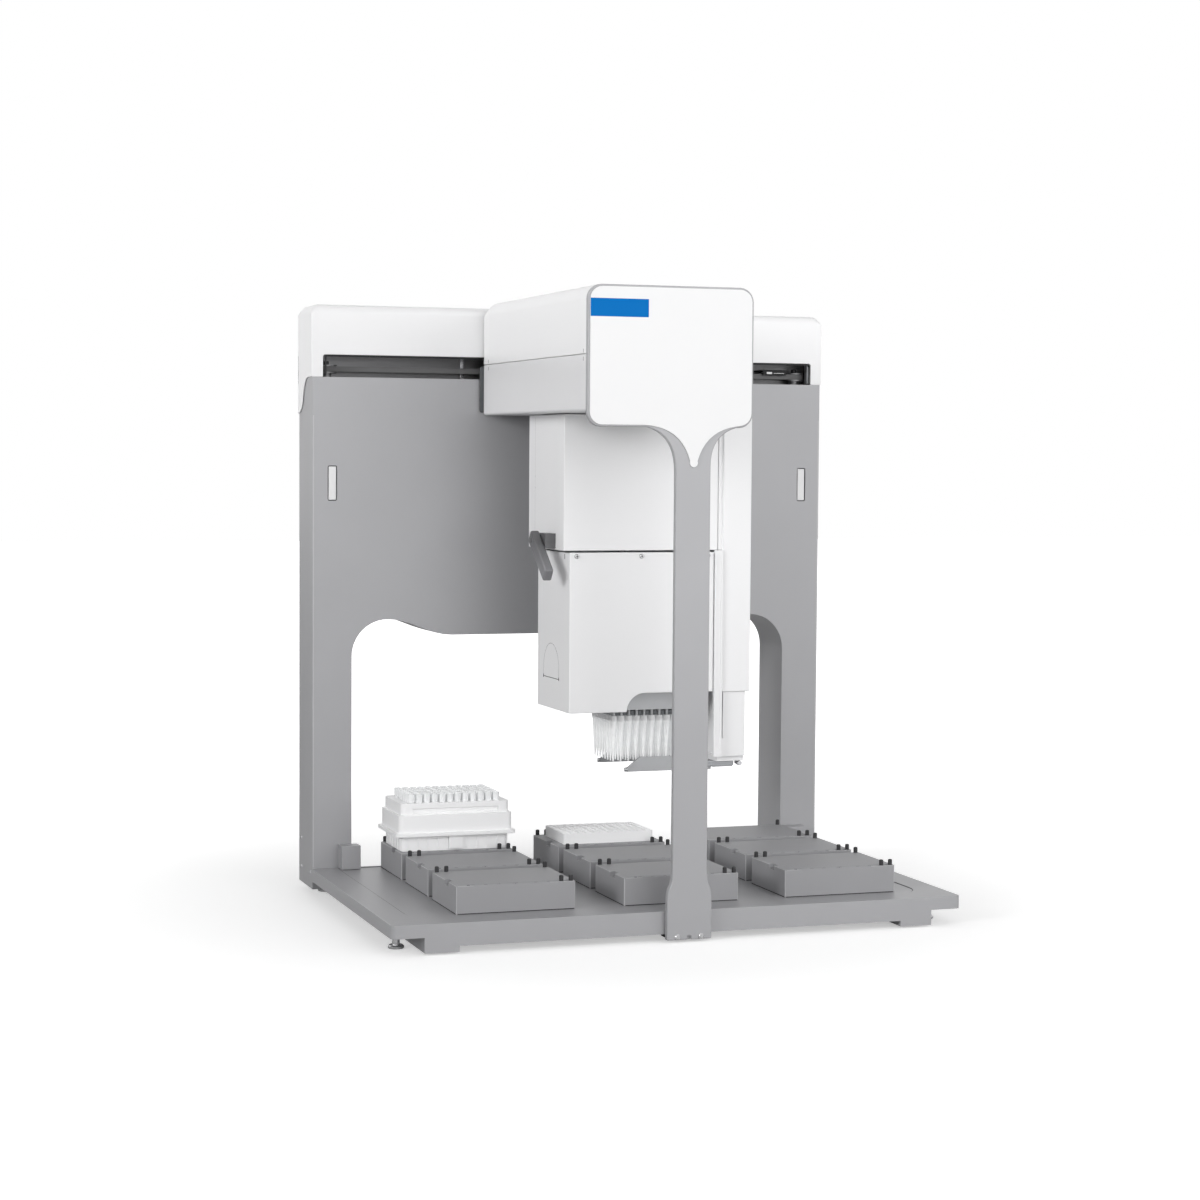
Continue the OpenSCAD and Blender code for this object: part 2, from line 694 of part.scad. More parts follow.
module face_shape(d) {
    r = 13;
    x0 = arm_x0 + d;
    x1 = arm_x1 - d;
    z0 = face_bottom + d;
    z1 = arm_top - d;
    tip = 4.4;
    polygon(concat(
        swoop([54, z0], [14, z0 - 2], [tip * 0.9, tongue_z + tip * 1.45], 10),
        arc(0, tongue_z + tip, tip, 10, -190, 8),
        swoop([-tip * 0.9, tongue_z + tip * 1.45], [-14, z0 - 2], [-54, z0], 10),
        arc(x0 + r, z0 + r, r, 270, 180, 6),
        arc(x0 + r, z1 - r, r, 180, 90, 6),
        arc(x1 - r, z1 - r, r, 90, 0, 6),
        arc(x1 - r, z0 + r, r, 0, -90, 6)));
}

accent_z0 = arm_top - 32.9;
accent_z1 = arm_top - 14.4;
accent_x1 = arm_x0 + 65;
module face_plate() color([0.94, 0.94, 0.95]) difference() {
    along_y(y_front, y_front + face_t) face_shape(face_rim);
    block([arm_x0 + face_rim, y_front - 1, accent_z0], [accent_x1, y_front + 0.5, accent_z1]);
}

module accent_strip() color([0, 0.45, 0.8])
    block([arm_x0 + face_rim, y_front, accent_z0], [accent_x1, y_front + 0.5, accent_z1]);

// Glide that hooks under the deck's front flange
module foot_shoe() color([0.12, 0.12, 0.13])
    block([-foot_w / 2 + 4, column_back, 3], [foot_w / 2 - 4, deck_front + 22, rail_z - 0.4]);

module foot_bolts() color([0.7, 0.7, 0.72])
    for (s = [-1, 1]) translate([s * 13, y_front + face_t, 6.2]) rotate([90, 0, 0])
        rotate_extrude($fn = 24) polygon([[0, 0], [3, 0], [3, 0.7], [2.2, 1.4], [0, 1.4]]);

module y_rails() color([0.75, 0.75, 0.77])
    for (s = [-1, 1])
        block([arm_cx + s * 41 - 6, column_back + 14, spine_z - y_rail_h],
              [arm_cx + s * 41 + 6, end_y - 8, spine_z]);

module y_motor() color([0.14, 0.14, 0.15]) {
    r = 14;
    block([screw_x - r, column_back + 1.7, screw_z - r], [screw_x + r, column_back + 41.7, screw_z + r]);
}

module y_screw() color([0.75, 0.75, 0.77])
    translate([screw_x, end_y - 1, screw_z]) rotate([90, 0, 0])
        cylinder(r = screw_r, h = end_y - 1 - column_back - 42);

y_block = [-34, 50];
module y_carriage() color([0.5, 0.51, 0.53]) difference() {
    z1 = spine_z - 3;
    union() {
        block([arm_cx - 59, y_block[0], z1 - 27], [arm_cx + 59, y_block[1], z1 - 19]);
        for (s = [-1, 1])
            block([arm_cx + s * 41 - 12, y_block[0], z1 - 19 - eps], [arm_cx + s * 41 + 12, y_block[1], z1]);
        block([screw_x - 12, y_block[0] + 20, z1 - 19 - eps], [screw_x + 12, y_block[1] - 20, z1 - 1]);
        block([hanger_x0, hanger_y0, housing_top], [hanger_x1, hanger_y1, z1 - 27 + eps]);
    }
    for (s = [-1, 1])
        block([arm_cx + s * 41 - 6 - slide, y_block[0] - 1, spine_z - y_rail_h - slide],
              [arm_cx + s * 41 + 6 + slide, y_block[1] + 1, spine_z]);
    translate([screw_x, y_block[1] + 1, screw_z]) rotate([90, 0, 0])
        cylinder(r = screw_r + run, h = y_block[1] - y_block[0] + 2);
}

/* Head, fixed in height ------------------------------------------------- */

module upper_housing() color([0.93, 0.93, 0.94]) difference() {
    block([house_x0, house_y0, split_z], [house_x1, house_y1, housing_top]);
    block([house_x0 + shell, house_y0 + shell, split_z - 1],
          [house_x1 - shell, house_y1 + 1, housing_top - shell]);
}

module head_chassis() color([0.45, 0.46, 0.48]) difference() {
    top = housing_top - shell;
    union() {
        block([house_x0 + shell, z_rail_y, split_z], [house_x1 - shell, house_y1, top]);
        block([-62, z_rail_y, split_z - 90], [house_x1 - 7, house_y1, split_z + eps]);
        block([-62, hanger_y0 - 10, top - 8], [house_x1 - 7, z_rail_y + eps, top]);
        block([z_screw_x - 27, z_screw_y - 20, shelf_z], [z_screw_x + 27, z_rail_y + eps, shelf_z + 8]);
    }
    translate([z_screw_x, z_screw_y, shelf_z - 1]) cylinder(r = z_screw_r + run, h = 10);
}

module z_rails() color([0.75, 0.75, 0.77])
    for (x = z_rail_x)
        block([x - 6, z_rail_y - z_rail_h, split_z - 88], [x + 6, z_rail_y, housing_top - shell - 10]);

module z_motor() color([0.14, 0.14, 0.15])
    block([z_screw_x - 16, z_screw_y - 16, shelf_z + 8], [z_screw_x + 16, z_screw_y + 16, shelf_z + 46]);

module z_screw() color([0.75, 0.75, 0.77])
    translate([z_screw_x, z_screw_y, split_z - 45]) cylinder(r = z_screw_r, h = shelf_z + 7 - split_z + 45);

module lever_base() color([0.3, 0.31, 0.32]) difference() {
    block([lever_x, lever_y - 20, split_z + 2], [house_x0, lever_y + 12, split_z + 18]);
    translate([lever_x - 1, lever_y, lever_z]) rotate([0, 90, 0]) cylinder(r = 4 + run, h = 10);
}

// Clamp lever: pivot pin, hub and an arm that slants forwards and down
module lock_lever() color([0.36, 0.37, 0.38]) {
    len = 42;
    x1 = lever_x - slide;
    translate([0, lever_y, lever_z]) {
        translate([x1 - 6.5, 0, 0]) rotate([0, 90, 0]) cylinder(r = 9, h = 6.5);
        translate([x1 - 6.5, 0, 0]) rotate([0, 90, 0]) cylinder(r = 4, h = 14);
        rotate([-45, 0, 0]) along_x(x1 - 6.5, x1)
            polygon([[-8.4, 0], [-7, -len + 4], [-3, -len], [5, -len], [8, -len + 4], [8.4, 0]]);
    }
}

module gripper_tower() color([0.93, 0.93, 0.94]) difference() {
    union() {
        block([tower_x0, low_y0, tower_z], [tower_x1, low_y1, housing_top]);
        block([house_x1, -20, split_z + 20], [tower_x0 + eps, 30, housing_top - 20]);
        // wing that closes the front between the housing and the tower
        block([house_x1 + gap, house_y0, split_z], [tower_x0 + eps, house_y0 + 8, housing_top]);
    }
    block([tower_x0 + shell, low_y0 + shell, tower_z - 1],
          [tower_x1 - shell, low_y1 - 8, housing_top - shell]);
}

/* Head, moving up and down ---------------------------------------------- */

plunge_x0 = -46;
plunge_y0 = -24;
plunge_y1 = z_plate_y - gap;
guide_x = [-12, 80];
guide_y = [-16, 30];
module z_carriage() color([0.5, 0.51, 0.53]) {
    y1 = z_plate_y + 7;
    difference() {
        union() {
            block([-56, z_plate_y, base_z + base_t - eps], [70, y1, split_z + 80]);
            for (x = z_rail_x, z = [base_z + 44, split_z + 28])
                block([x - 12, y1 - eps, z], [x + 12, z_rail_y - gap, z + 46]);
            block([z_screw_x - 12, z_screw_y - 9, split_z + 50],
                  [z_screw_x + 12, z_plate_y + eps, split_z + 70]);
            block([low_x0 + shell, base_y0, base_z], [head_cx + block_w / 2, 51, base_z + base_t]);
            block([low_x0 + shell, low_y0 + shell, base_z], [low_x1 - 3, base_y0 + eps, base_z + base_t]);
            for (x = guide_x, y = guide_y)
                translate([x, y, base_z + base_t - eps]) cylinder(r = 4, h = 50);
            block([low_x0 + shell, low_y0 + shell, base_z + base_t - eps],
                  [low_x0 + shell + 3, 30, base_z + base_t + 30]);
        }
        for (x = z_rail_x)
            block([x - 6 - slide, z_rail_y - z_rail_h - slide, base_z + 40],
                  [x + 6 + slide, z_rail_y, split_z + 90]);
        translate([z_screw_x, z_screw_y, split_z + 49]) cylinder(r = z_screw_r + run, h = 22);
        translate([plunge_x0 + 10, 6, base_z - 1]) cylinder(r = 4.5, h = base_t + 2);
    }
}

arch_x = 5.5;
arch_h = 20.6;
module head_cover() color([0.93, 0.93, 0.94]) {
    along_y(low_y0, low_y0 + shell) polygon(concat(
        [[low_x0, cover_low_z]],
        arc(arch_x, cover_low_z, arch_h, 180, 90, 10),
        [[low_x1, cover_low_z + arch_h], [low_x1, cover_low_top], [low_x0, cover_low_top]]));
    block([low_x0, low_y0 + shell - eps, cover_low_z], [low_x0 + shell, low_y1, cover_low_top - shell + eps]);
    // stiffening lips along the top
    block([low_x0, low_y0 + shell - eps, cover_low_top - shell], [low_x1, low_y0 + 12, cover_low_top]);
    block([low_x0, low_y0 + 12 - eps, cover_low_top - shell], [low_x0 + 12, low_y1, cover_low_top]);
}

module cover_screws() color([0.75, 0.75, 0.77])
    for (x = [-74, 0.5, 78]) translate([x, low_y0, cover_low_top - 4]) rotate([90, 0, 0])
        rotate_extrude($fn = 24) polygon([[0.9, 0], [2.8, 0], [2.5, 1.2], [1.6, 1.8], [0.9, 1.8]]);

nozzle_r = 2.2;
module barrel_block() color([0.6, 0.61, 0.63]) {
    block([head_cx - block_w / 2, head_cy - block_d / 2, block_z],
          [head_cx + block_w / 2, head_cy + block_d / 2, base_z]);
    at_channels(head_cx, head_cy) translate([0, 0, tip_top - 7])
        cylinder(r = nozzle_r, h = block_z - tip_top + 7 + eps, $fn = 16);
}

// One tip: a sleeve that the nozzle enters, tapering to its point
module tip(len) {
    rotate_extrude($fn = 16) polygon([[0.4, -len], [0.9, -len], [2.2, -len * 0.55], [3.1, -8],
        [3.7, -8], [3.7, 0], [nozzle_r + run, 0], [nozzle_r + run, -8], [1.2, -len * 0.55]]);
}

module pipette_tips() color([0.9, 0.92, 0.93])
    at_channels(head_cx, head_cy) translate([0, 0, tip_top - slide]) tip(tip_len - slide);

// Plate between the nozzles, whose outer rows stand half in its edges
module stripper_plate() color([0.2, 0.2, 0.21]) difference() {
    block([head_cx - 5.5 * pitch, head_cy - 3.5 * pitch, tip_top],
          [head_cx + 5.5 * pitch, head_cy + 3.5 * pitch, tip_top + strip_t]);
    at_channels(head_cx, head_cy) translate([0, 0, tip_top - 1])
        cylinder(r = nozzle_r + 0.3, h = strip_t + 2, $fn = 16);
}

module plunger_motor() color([0.14, 0.14, 0.15]) {
    block([plunge_x0 - 5, -9, base_z - 40], [plunge_x0 + 25, 21, base_z]);
    translate([plunge_x0 + 10, 6, base_z - eps]) cylinder(r = 4, h = base_t + 50);
}

module plunger_plate() color([0.6, 0.61, 0.63]) difference() {
    z0 = base_z + 40;
    block([plunge_x0, plunge_y0, z0], [head_cx + block_w / 2 - 2, plunge_y1, z0 + 8]);
    for (x = guide_x, y = guide_y) translate([x, y, z0 - 1]) cylinder(r = 4 + run, h = 10);
    translate([plunge_x0 + 10, 6, z0 - 1]) cylinder(r = 4 + run, h = 10);
}

/* Gripper --------------------------------------------------------------- */

module gripper_slide() color([0.93, 0.93, 0.94]) {
    y0 = low_y0 + shell + slide;
    y1 = low_y1 - 8 - slide;
    strip_y = house_y0 - gap;
    block([slide_x0, y0, slide_z], [slide_x1, y1, split_z + 30]);
    // the front strip beside the head's cover
    difference() {
        block([low_x1 + 0.7, strip_y - 5.5, slide_z], [95.3, strip_y, split_z]);
        block([low_x1 + 2.7, strip_y - 6, slide_z + 8], [93.3, strip_y - 4.7, split_z - 8]);
    }
    block([95.3 - eps, strip_y - 2, slide_z], [slide_x0 + eps, y0 + 10, slide_z + 20]);
    // carrier plate and rail of the two jaws
    block([jaw_plate_x0, y0 + 4, jaw_z], [slide_x1, head_cy + 53, slide_z + eps]);
    block([jaw_rail_x - 6, head_cy - 54, jaw_z - 5], [jaw_rail_x + 6, head_cy + 52, jaw_z + eps]);
}

// A jaw: grooved block on the rail, blade with a slanted end, and its end stud
module jaw(side) {
    inner = head_cy + side * jaw_open / 2;
    outer = inner + side * blade_t;
    y0 = min(inner, outer);
    y1 = max(inner, outer);
    b0 = side < 0 ? y0 - 5 : y0 - 4;
    b1 = side < 0 ? y1 + 5 : y1 + 4;
    difference() {
        block([jaw_rail_x - 12, b0, blade_z + 3], [jaw_rail_x + 12, b1, jaw_z - gap]);
        block([jaw_rail_x - 6 - slide, b0 - 1, jaw_z - 5 - slide], [jaw_rail_x + 6 + slide, b1 + 1, jaw_z]);
    }
    along_y(y0, y1) polygon([[blade_x0, blade_z], [jaw_rail_x - 12 + eps, blade_z],
        [jaw_rail_x - 12 + eps, blade_z + 10], [jaw_plate_x0 - 1, blade_z + 10],
        [jaw_plate_x0 - 1, blade_z + blade_h], [blade_x0 + 14, blade_z + blade_h],
        [blade_x0, blade_z + 5]]);
    translate([blade_x0 - 3.4, (y0 + y1) / 2, blade_z + 2.6]) rotate([0, 90, 0])
        cylinder(r = 2.4, h = 3.4 + eps, $fn = 24);
}

module front_blade() color([0.62, 0.62, 0.64]) jaw(-1);

module back_blade() color([0.62, 0.62, 0.64]) jaw(1);

/* Labware --------------------------------------------------------------- */

// One tier of a rack, centred on its nest
module tier(w, d, z0, z1, r) {
    translate([box_x, box_y, z0]) linear_extrude(z1 - z0) round_rect(-w / 2, -d / 2, w / 2, d / 2, r);
}

well_t = 1.5;
tier_w = 11 * pitch + 33;
tier_d = 7 * pitch + 24;
module tip_box() color([0.95, 0.95, 0.96]) {
    z = nest_top;
    difference() {
        union() {
            tier(tier_w - 8, tier_d - 10, z, z + 17, 5);
            tier(tier_w + 8, tier_d + 4, z + 17 - eps, z + 21, 7);
            tier(tier_w, tier_d - 2, z + 21 - eps, z + box_h - 13, 6);
            tier(tier_w - 6, tier_d - 8, z + box_h - 13 - eps, z + box_h, 6);
        }
        // long recess in the upper tray's front wall
        translate([box_x, box_y, 0])
            block([-tier_w / 2 + 16, -tier_d / 2, z + box_h - 11],
                  [tier_w / 2 - 16, -tier_d / 2 + 6, z + box_h - 6]);
    }
    // latch tab at the front of the base
    translate([box_x, box_y, 0])
        block([-8, -tier_d / 2 + 2, z + 2], [8, -tier_d / 2 + 5 + eps, z + 17]);
}

module rack_tips() color([0.92, 0.94, 0.95])
    at_channels(box_x, box_y) translate([0, 0, nest_top + box_h])
        rotate_extrude($fn = 16) polygon([[0, 0], [3.3, 0], [3.5, 2.5], [3.9, 9.5], [2.3, 9.5],
            [2.3, 8.5], [0, 8.5]]);

module microplate() color([0.96, 0.96, 0.97]) {
    w = 11 * pitch + 9.4;
    d = 7 * pitch + 9.4;
    translate([nest_cx, box_y, 0]) {
        difference() {
            translate([0, 0, nest_top]) linear_extrude(micro_h) round_rect(-w / 2, -d / 2, w / 2, d / 2, 3);
            at_channels(0, 0) translate([0, 0, nest_top + micro_h - well_t]) cylinder(r = 3.2, h = 2, $fn = 16);
        }
    }
}

deck_tray();
deck_plate();
deck_frame();
leveling_feet();
nest(1);  // nest_1
nest(2);  // nest_2
nest(3);  // nest_3
nest(4);  // nest_4
nest(5);  // nest_5
nest(6);  // nest_6
nest(7);  // nest_7
nest(8);  // nest_8
nest(9);  // nest_9
nest_pins();
at_frame() back_frame();
at_frame() rear_panel();
at_frame() rear_connectors();
at_frame() power_switch();
at_frame() top_cover();
at_frame() x_beam();
at_frame() x_rails();
at_frame() x_motor();
at_frame() x_drive_pulley();
at_frame() x_idler_pulley();
at_frame() x_belt();
x_carriage();
arm_beam();
arm_upper_cover();
arm_lower_cover();
front_column();
face_plate();
accent_strip();
foot_shoe();
foot_bolts();
y_rails();
y_motor();
y_screw();
y_carriage();
upper_housing();
head_chassis();
z_rails();
z_motor();
z_screw();
lever_base();
lock_lever();
gripper_tower();
z_carriage();
head_cover();
cover_screws();
barrel_block();
pipette_tips();
stripper_plate();
plunger_motor();
plunger_plate();
gripper_slide();
front_blade();
back_blade();
tip_box();
rack_tips();
microplate();
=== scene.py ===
import json
import math

import bmesh
import bpy
from bpy.props import FloatProperty, FloatVectorProperty, IntProperty, PointerProperty
from mathutils import Matrix, Vector


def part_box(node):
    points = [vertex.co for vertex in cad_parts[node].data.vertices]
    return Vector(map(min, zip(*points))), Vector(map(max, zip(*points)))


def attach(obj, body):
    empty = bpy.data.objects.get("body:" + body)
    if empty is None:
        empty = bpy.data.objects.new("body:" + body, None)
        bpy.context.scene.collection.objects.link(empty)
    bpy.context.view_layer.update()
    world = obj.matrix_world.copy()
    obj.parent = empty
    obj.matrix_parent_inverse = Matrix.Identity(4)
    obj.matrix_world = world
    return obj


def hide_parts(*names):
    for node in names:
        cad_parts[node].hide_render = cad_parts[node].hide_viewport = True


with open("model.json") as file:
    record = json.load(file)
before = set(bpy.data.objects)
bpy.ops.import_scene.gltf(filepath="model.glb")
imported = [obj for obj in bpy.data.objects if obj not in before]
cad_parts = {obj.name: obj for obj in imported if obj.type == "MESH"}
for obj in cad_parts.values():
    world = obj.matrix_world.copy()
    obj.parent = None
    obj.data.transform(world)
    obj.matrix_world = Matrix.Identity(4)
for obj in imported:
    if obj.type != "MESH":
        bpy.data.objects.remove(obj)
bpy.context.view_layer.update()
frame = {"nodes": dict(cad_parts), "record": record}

NODES = frame["nodes"]
NESTS = [f"nest_{n}" for n in range(1, 10)]

bl_info = {
    "name": "Liquid handling robot",
    "version": (1, 0, 0),
    "blender": (4, 5, 0),
    "location": "3D View > Sidebar > Robot",
    "description": "Finishes, fine parts and studio of a bench liquid handling robot",
    "category": "Object",
}


# Sizes and colours that a user would change ---------------------------------

def colour(name, description, value):
    return FloatVectorProperty(name=name, description=description, subtype="COLOR",
                               size=3, min=0.0, max=1.0, default=value)


def length(name, description, value):
    return FloatProperty(name=name, description=description, default=value, min=0.0,
                         unit="LENGTH", precision=5)


class RobotFinishes(bpy.types.PropertyGroup):
    """Colours of the robot's coats and plastics"""
    frame_grey: colour("Frame grey", "Powder coat of the deck, back frame and column",
                       (0.375, 0.375, 0.388))
    nest_grey: colour("Nest grey", "Darker coat of the plate nests", (0.315, 0.315, 0.327))
    cover_white: colour("Cover white", "Coat of the white covers", (0.82, 0.82, 0.827))
    arm_shade: colour("Arm shade", "Greyer white of the arm's lower cover", (0.74, 0.74, 0.75))
    face_white: colour("Face white", "Front plate of the arm", (0.775, 0.775, 0.78))
    accent_blue: colour("Accent blue", "Bare strip on the front plate", (0.0, 0.15, 0.48))
    lever_grey: colour("Lever grey", "Moulded clamp lever", (0.1, 0.1, 0.105))
    tip_clear: colour("Tip clear", "Translucent pipette tips", (0.95, 0.96, 0.965))


class RobotSizes(bpy.types.PropertyGroup):
    """Roundings, coat grain and tooth counts of the robot's fine parts"""
    sheet_edge: length("Sheet edge", "Rounding of folded sheet edges", 0.0011)
    nest_edge: length("Nest edge", "Rounding of the plate nests' edges", 0.0015)
    cover_edge: length("Cover edge", "Rounding of the white covers' edges", 0.0016)
    fine_edge: length("Fine edge", "Rounding of small parts' edges", 0.0004)
    coat_grain: length("Coat grain", "Size of the powder coat's grain", 0.0009)
    tooth_pitch: length("Tooth pitch", "Pitch of the travel belt's teeth", 0.003)
    rack_teeth: IntProperty(name="Rack teeth", description="Ribs of the grip rail under the gripper",
                            default=13, min=4, max=24)


# Shader arithmetic ----------------------------------------------------------

MIX_FROM, MIX_TO, MIX_RESULT = 6, 7, 2  # colour sockets of the Mix node


class Signal:
    """A shader socket that Python's own operators join with Math nodes."""

    def __init__(self, tree, socket=None):
        self.tree, self.socket = tree, socket

    def node(self, kind, settings=None, inputs=None, output=0):
        """Any node: its settings first, then the values or links of its sockets."""
        made = self.tree.nodes.new(kind)
        for name, value in (settings or {}).items():
            if name == "stops":
                steps = made.color_ramp.elements
                while len(steps) < len(value):
                    steps.new(1.0)
                for step, (place, tone) in zip(steps, value):
                    step.position, step.color = place, (tone, tone, tone, 1.0)
            else:
                setattr(made, name, value)
        for name, value in (inputs or {}).items():
            if isinstance(value, Signal):
                self.tree.links.new(value.socket, made.inputs[name])
            else:
                made.inputs[name].default_value = value
        return Signal(self.tree, made.outputs[output] if len(made.outputs) else None)

    def math(self, operation, first, second=0.0):
        return self.node("ShaderNodeMath", {"operation": operation}, {0: first, 1: second})

    def __add__(self, other):
        return self.math("ADD", self, other)

    def __sub__(self, other):
        return self.math("SUBTRACT", self, other)

    def __rsub__(self, other):
        return self.math("SUBTRACT", other, self)

    def __mul__(self, other):
        return self.math("MULTIPLY", self, other)

    __radd__ = __add__
    __rmul__ = __mul__

    def place(self):
        return self.node("ShaderNodeTexCoord", output="Object")

    def stretched(self, scale):
        return self.node("ShaderNodeMapping", None, {"Vector": self.place(), "Scale": scale})

    def noise(self, size, detail=2.0, stretch=None):
        """Noise whose lumps are about this size in metres."""
        where = self.place() if stretch is None else self.stretched(stretch)
        return self.node("ShaderNodeTexNoise", None,
                         {"Vector": where, "Scale": 1.0 / size, "Detail": detail}, "Fac")

    def along(self, axis):
        return self.node("ShaderNodeSeparateXYZ", None, {"Vector": self.place()}, axis)

    def ramp(self, stops):
        return self.node("ShaderNodeValToRGB", {"stops": stops}, {"Fac": self}, "Color")

    def around(self, middle, sway):
        """This signal moved from 0..1 to a band of width sway round the middle."""
        return self * sway + (middle - sway / 2)

    def shades(self, shade, first, last):
        """A colour that this signal takes from the first strength to the last."""
        return self.node("ShaderNodeMix", {"data_type": "RGBA"},
                         {"Factor": self, MIX_FROM: (*scaled(shade, first), 1.0),
                          MIX_TO: (*scaled(shade, last), 1.0)}, MIX_RESULT)

    def bump(self, distance):
        return self.node("ShaderNodeBump", None, {"Height": self, "Distance": distance}, "Normal")


def scaled(shade, by):
    return tuple(min(1.0, part * by) for part in shade)


def bare_tree(owner):
    """Empties the node tree of a material or world and starts its signals."""
    owner.use_nodes = True
    owner.node_tree.nodes.clear()
    return Signal(owner.node_tree)


def material(name, dress):
    """A new material; dress(signal) gives the Principled shader's sockets."""
    made = bpy.data.materials.new(name)
    start = bare_tree(made)
    shader = start.node("ShaderNodeBsdfPrincipled", None, dress(start), "BSDF")
    start.node("ShaderNodeOutputMaterial", None, {"Surface": shader})
    return made


def powder_coat(name, shade, grain, roughness, metallic=0.0):
    """Satin coat: cloudy tone, grain that breaks the gloss, faint orange peel."""
    def dress(start):
        cloud = start.noise(size=0.09, detail=3.0)
        speck = start.noise(grain, detail=3.0)
        return {"Base Color": (cloud * 0.6 + speck * 0.4).shades(shade, 0.93, 1.07),
                "Roughness": speck.around(roughness, sway=0.14),
                "Metallic": metallic,
                "Normal": speck.bump(distance=0.00005)}
    return material(name, dress)


def smooth_coat(name, shade, roughness=0.34, shine=1.0):
    """Smooth coat with a slight waviness that shows only in its gloss."""
    def dress(start):
        cloud = start.noise(size=0.12)
        peel = start.noise(size=0.0022)
        return {"Base Color": cloud.shades(shade, 0.985, 1.015),
                "Roughness": cloud.around(roughness, sway=0.1),
                "Coat Weight": 0.15 * shine, "Coat Roughness": 0.2,
                "Specular IOR Level": 0.5 * shine,
                "Normal": peel.bump(distance=0.00002)}
    return material(name, dress)


def machined(name, shade, along="X", fineness=24, roughness=0.35):
    """Bare metal with tool marks drawn out along one axis."""
    stretch = [1 if axis == along else fineness for axis in "XYZ"]

    def dress(start):
        marks = start.noise(size=0.0012, detail=3.0, stretch=stretch)
        stain = start.noise(size=0.04)
        return {"Base Color": (marks * 0.7 + stain * 0.3).shades(shade, 0.86, 1.1),
                "Metallic": 0.9,
                "Roughness": marks.around(roughness, sway=0.22),
                "Normal": marks.bump(distance=0.00003)}
    return material(name, dress)


def moulded(name, shade, roughness=0.5, grain=0.0007):
    """Moulded plastic with a spark-eroded grain."""
    def dress(start):
        grit = start.noise(grain)
        cloud = start.noise(size=0.03)
        return {"Base Color": (cloud * 0.5 + grit * 0.5).shades(shade, 0.9, 1.1),
                "Roughness": grit.around(roughness, sway=0.16),
                "Normal": grit.bump(distance=0.00006)}
    return material(name, dress)


def lever_lighter_below(name, shade, top, bottom):
    """Dark moulding, lighter towards its lower end."""
    def dress(start):
        down = (start.along("Z") - bottom) * (1.0 / (top - bottom))
        grit = start.noise(size=0.0008)
        toward_bottom = (1.0 - down + (grit - 0.5) * 0.25).ramp([(0.25, 0.0), (0.95, 1.0)])
        return {"Base Color": toward_bottom.shades(shade, 1.0, 2.1),
                "Roughness": grit.around(0.4, sway=0.2),
                "Normal": grit.bump(distance=0.00004)}
    return material(name, dress)


def clear_moulding(name, shade, alpha, glow):
    """Translucent tip plastic with a cloudy tone and alpha, and a painted glow: emission that brightens
    it as if lit through.
    """
    def dress(start):
        cloud = start.noise(size=0.006)
        return {"Base Color": cloud.shades(shade, 0.96, 1.05),
                "Roughness": cloud.around(0.23, sway=0.1),
                # Emission on a part that is no lamp: painted light.
                "Emission Color": cloud.shades(shade, 0.9, 1.0), "Emission Strength": glow,
                "Alpha": cloud.around(alpha, sway=0.12)}
    return material(name, dress)


# Mesh helpers ---------------------------------------------------------------

LEFT, RIGHT, FRONT, BACK, UP = (-1, 0, 0), (1, 0, 0), (0, -1, 0), (0, 1, 0), (0, 0, 1)


def mm(*values):
    """Millimetres as metres."""
    return tuple(value * 0.001 for value in values)


def turn_to(axis):
    """The turn that takes the upright direction to an axis."""
    return Vector(UP).rotation_difference(Vector(axis)).to_matrix()


def settle(bm, name, body, finish, stands_for=()):
    """Turns a bmesh into a piece that rides on a body."""
    bmesh.ops.recalc_face_normals(bm, faces=bm.faces[:])
    mesh = bpy.data.meshes.new(name)
    bm.to_mesh(mesh)
    bm.free()
    piece = bpy.data.objects.new(name, mesh)
    bpy.context.scene.collection.objects.link(piece)
    mesh.materials.append(FINISH[finish])
    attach(piece, body)
    if stands_for:
        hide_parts(*stands_for)
    return piece


def round_edges(bm, edges, radius, steps):
    """Rounds edges and returns the vertices of the roundings."""
    return bmesh.ops.bevel(bm, geom=list(edges), offset=radius, segments=steps, profile=0.5,
                           affect="EDGES", material=-1)["verts"]


def add_block(bm, low, high, edge=0.0, steps=2):
    """A block between two corners, its edges rounded."""
    low, high = Vector(low), Vector(high)
    block = bmesh.ops.create_cube(bm, size=1.0)["verts"]
    bmesh.ops.scale(bm, vec=high - low, verts=block)
    bmesh.ops.translate(bm, vec=(low + high) / 2, verts=block)
    if edge > 0.0:
        block = round_edges(bm, {e for v in block for e in v.link_edges}, edge, steps)
    return block


def add_rod(bm, start, axis, radius, height, edge=0.0, sides=24):
    """A rod or prism that starts at a point and runs along an axis."""
    rod = bmesh.ops.create_cone(bm, cap_ends=True, segments=sides, radius1=radius,
                                radius2=radius, depth=height)["verts"]
    if edge > 0.0:
        rims = {e for v in rod for e in v.link_edges if e.verts[0].co.z * e.verts[1].co.z > 0.0}
        rod = list({v for v in rod + round_edges(bm, rims, edge, 2) if v.is_valid})
    bmesh.ops.translate(bm, vec=(0, 0, height / 2), verts=rod)
    bmesh.ops.rotate(bm, matrix=turn_to(axis), verts=rod)
    bmesh.ops.translate(bm, vec=start, verts=rod)
    return rod


def add_turned(bm, outline, centre, axis=UP, sides=20):
    """A turned part: an outline of (radius, height) pairs spun round its axis."""
    others = set(bm.verts)
    ring = [bm.verts.new((r, 0.0, h)) for r, h in outline]
    edges = [bm.edges.new(pair) for pair in zip(ring, ring[1:])]
    bmesh.ops.spin(bm, geom=ring + edges, cent=(0, 0, 0), axis=UP,
                   angle=math.tau, steps=sides, use_merge=True)
    bmesh.ops.remove_doubles(bm, verts=[v for v in bm.verts if v not in others], dist=1e-7)
    made = [v for v in bm.verts if v not in others]
    bmesh.ops.rotate(bm, matrix=turn_to(axis), verts=made)
    bmesh.ops.translate(bm, vec=centre, verts=made)
    return made


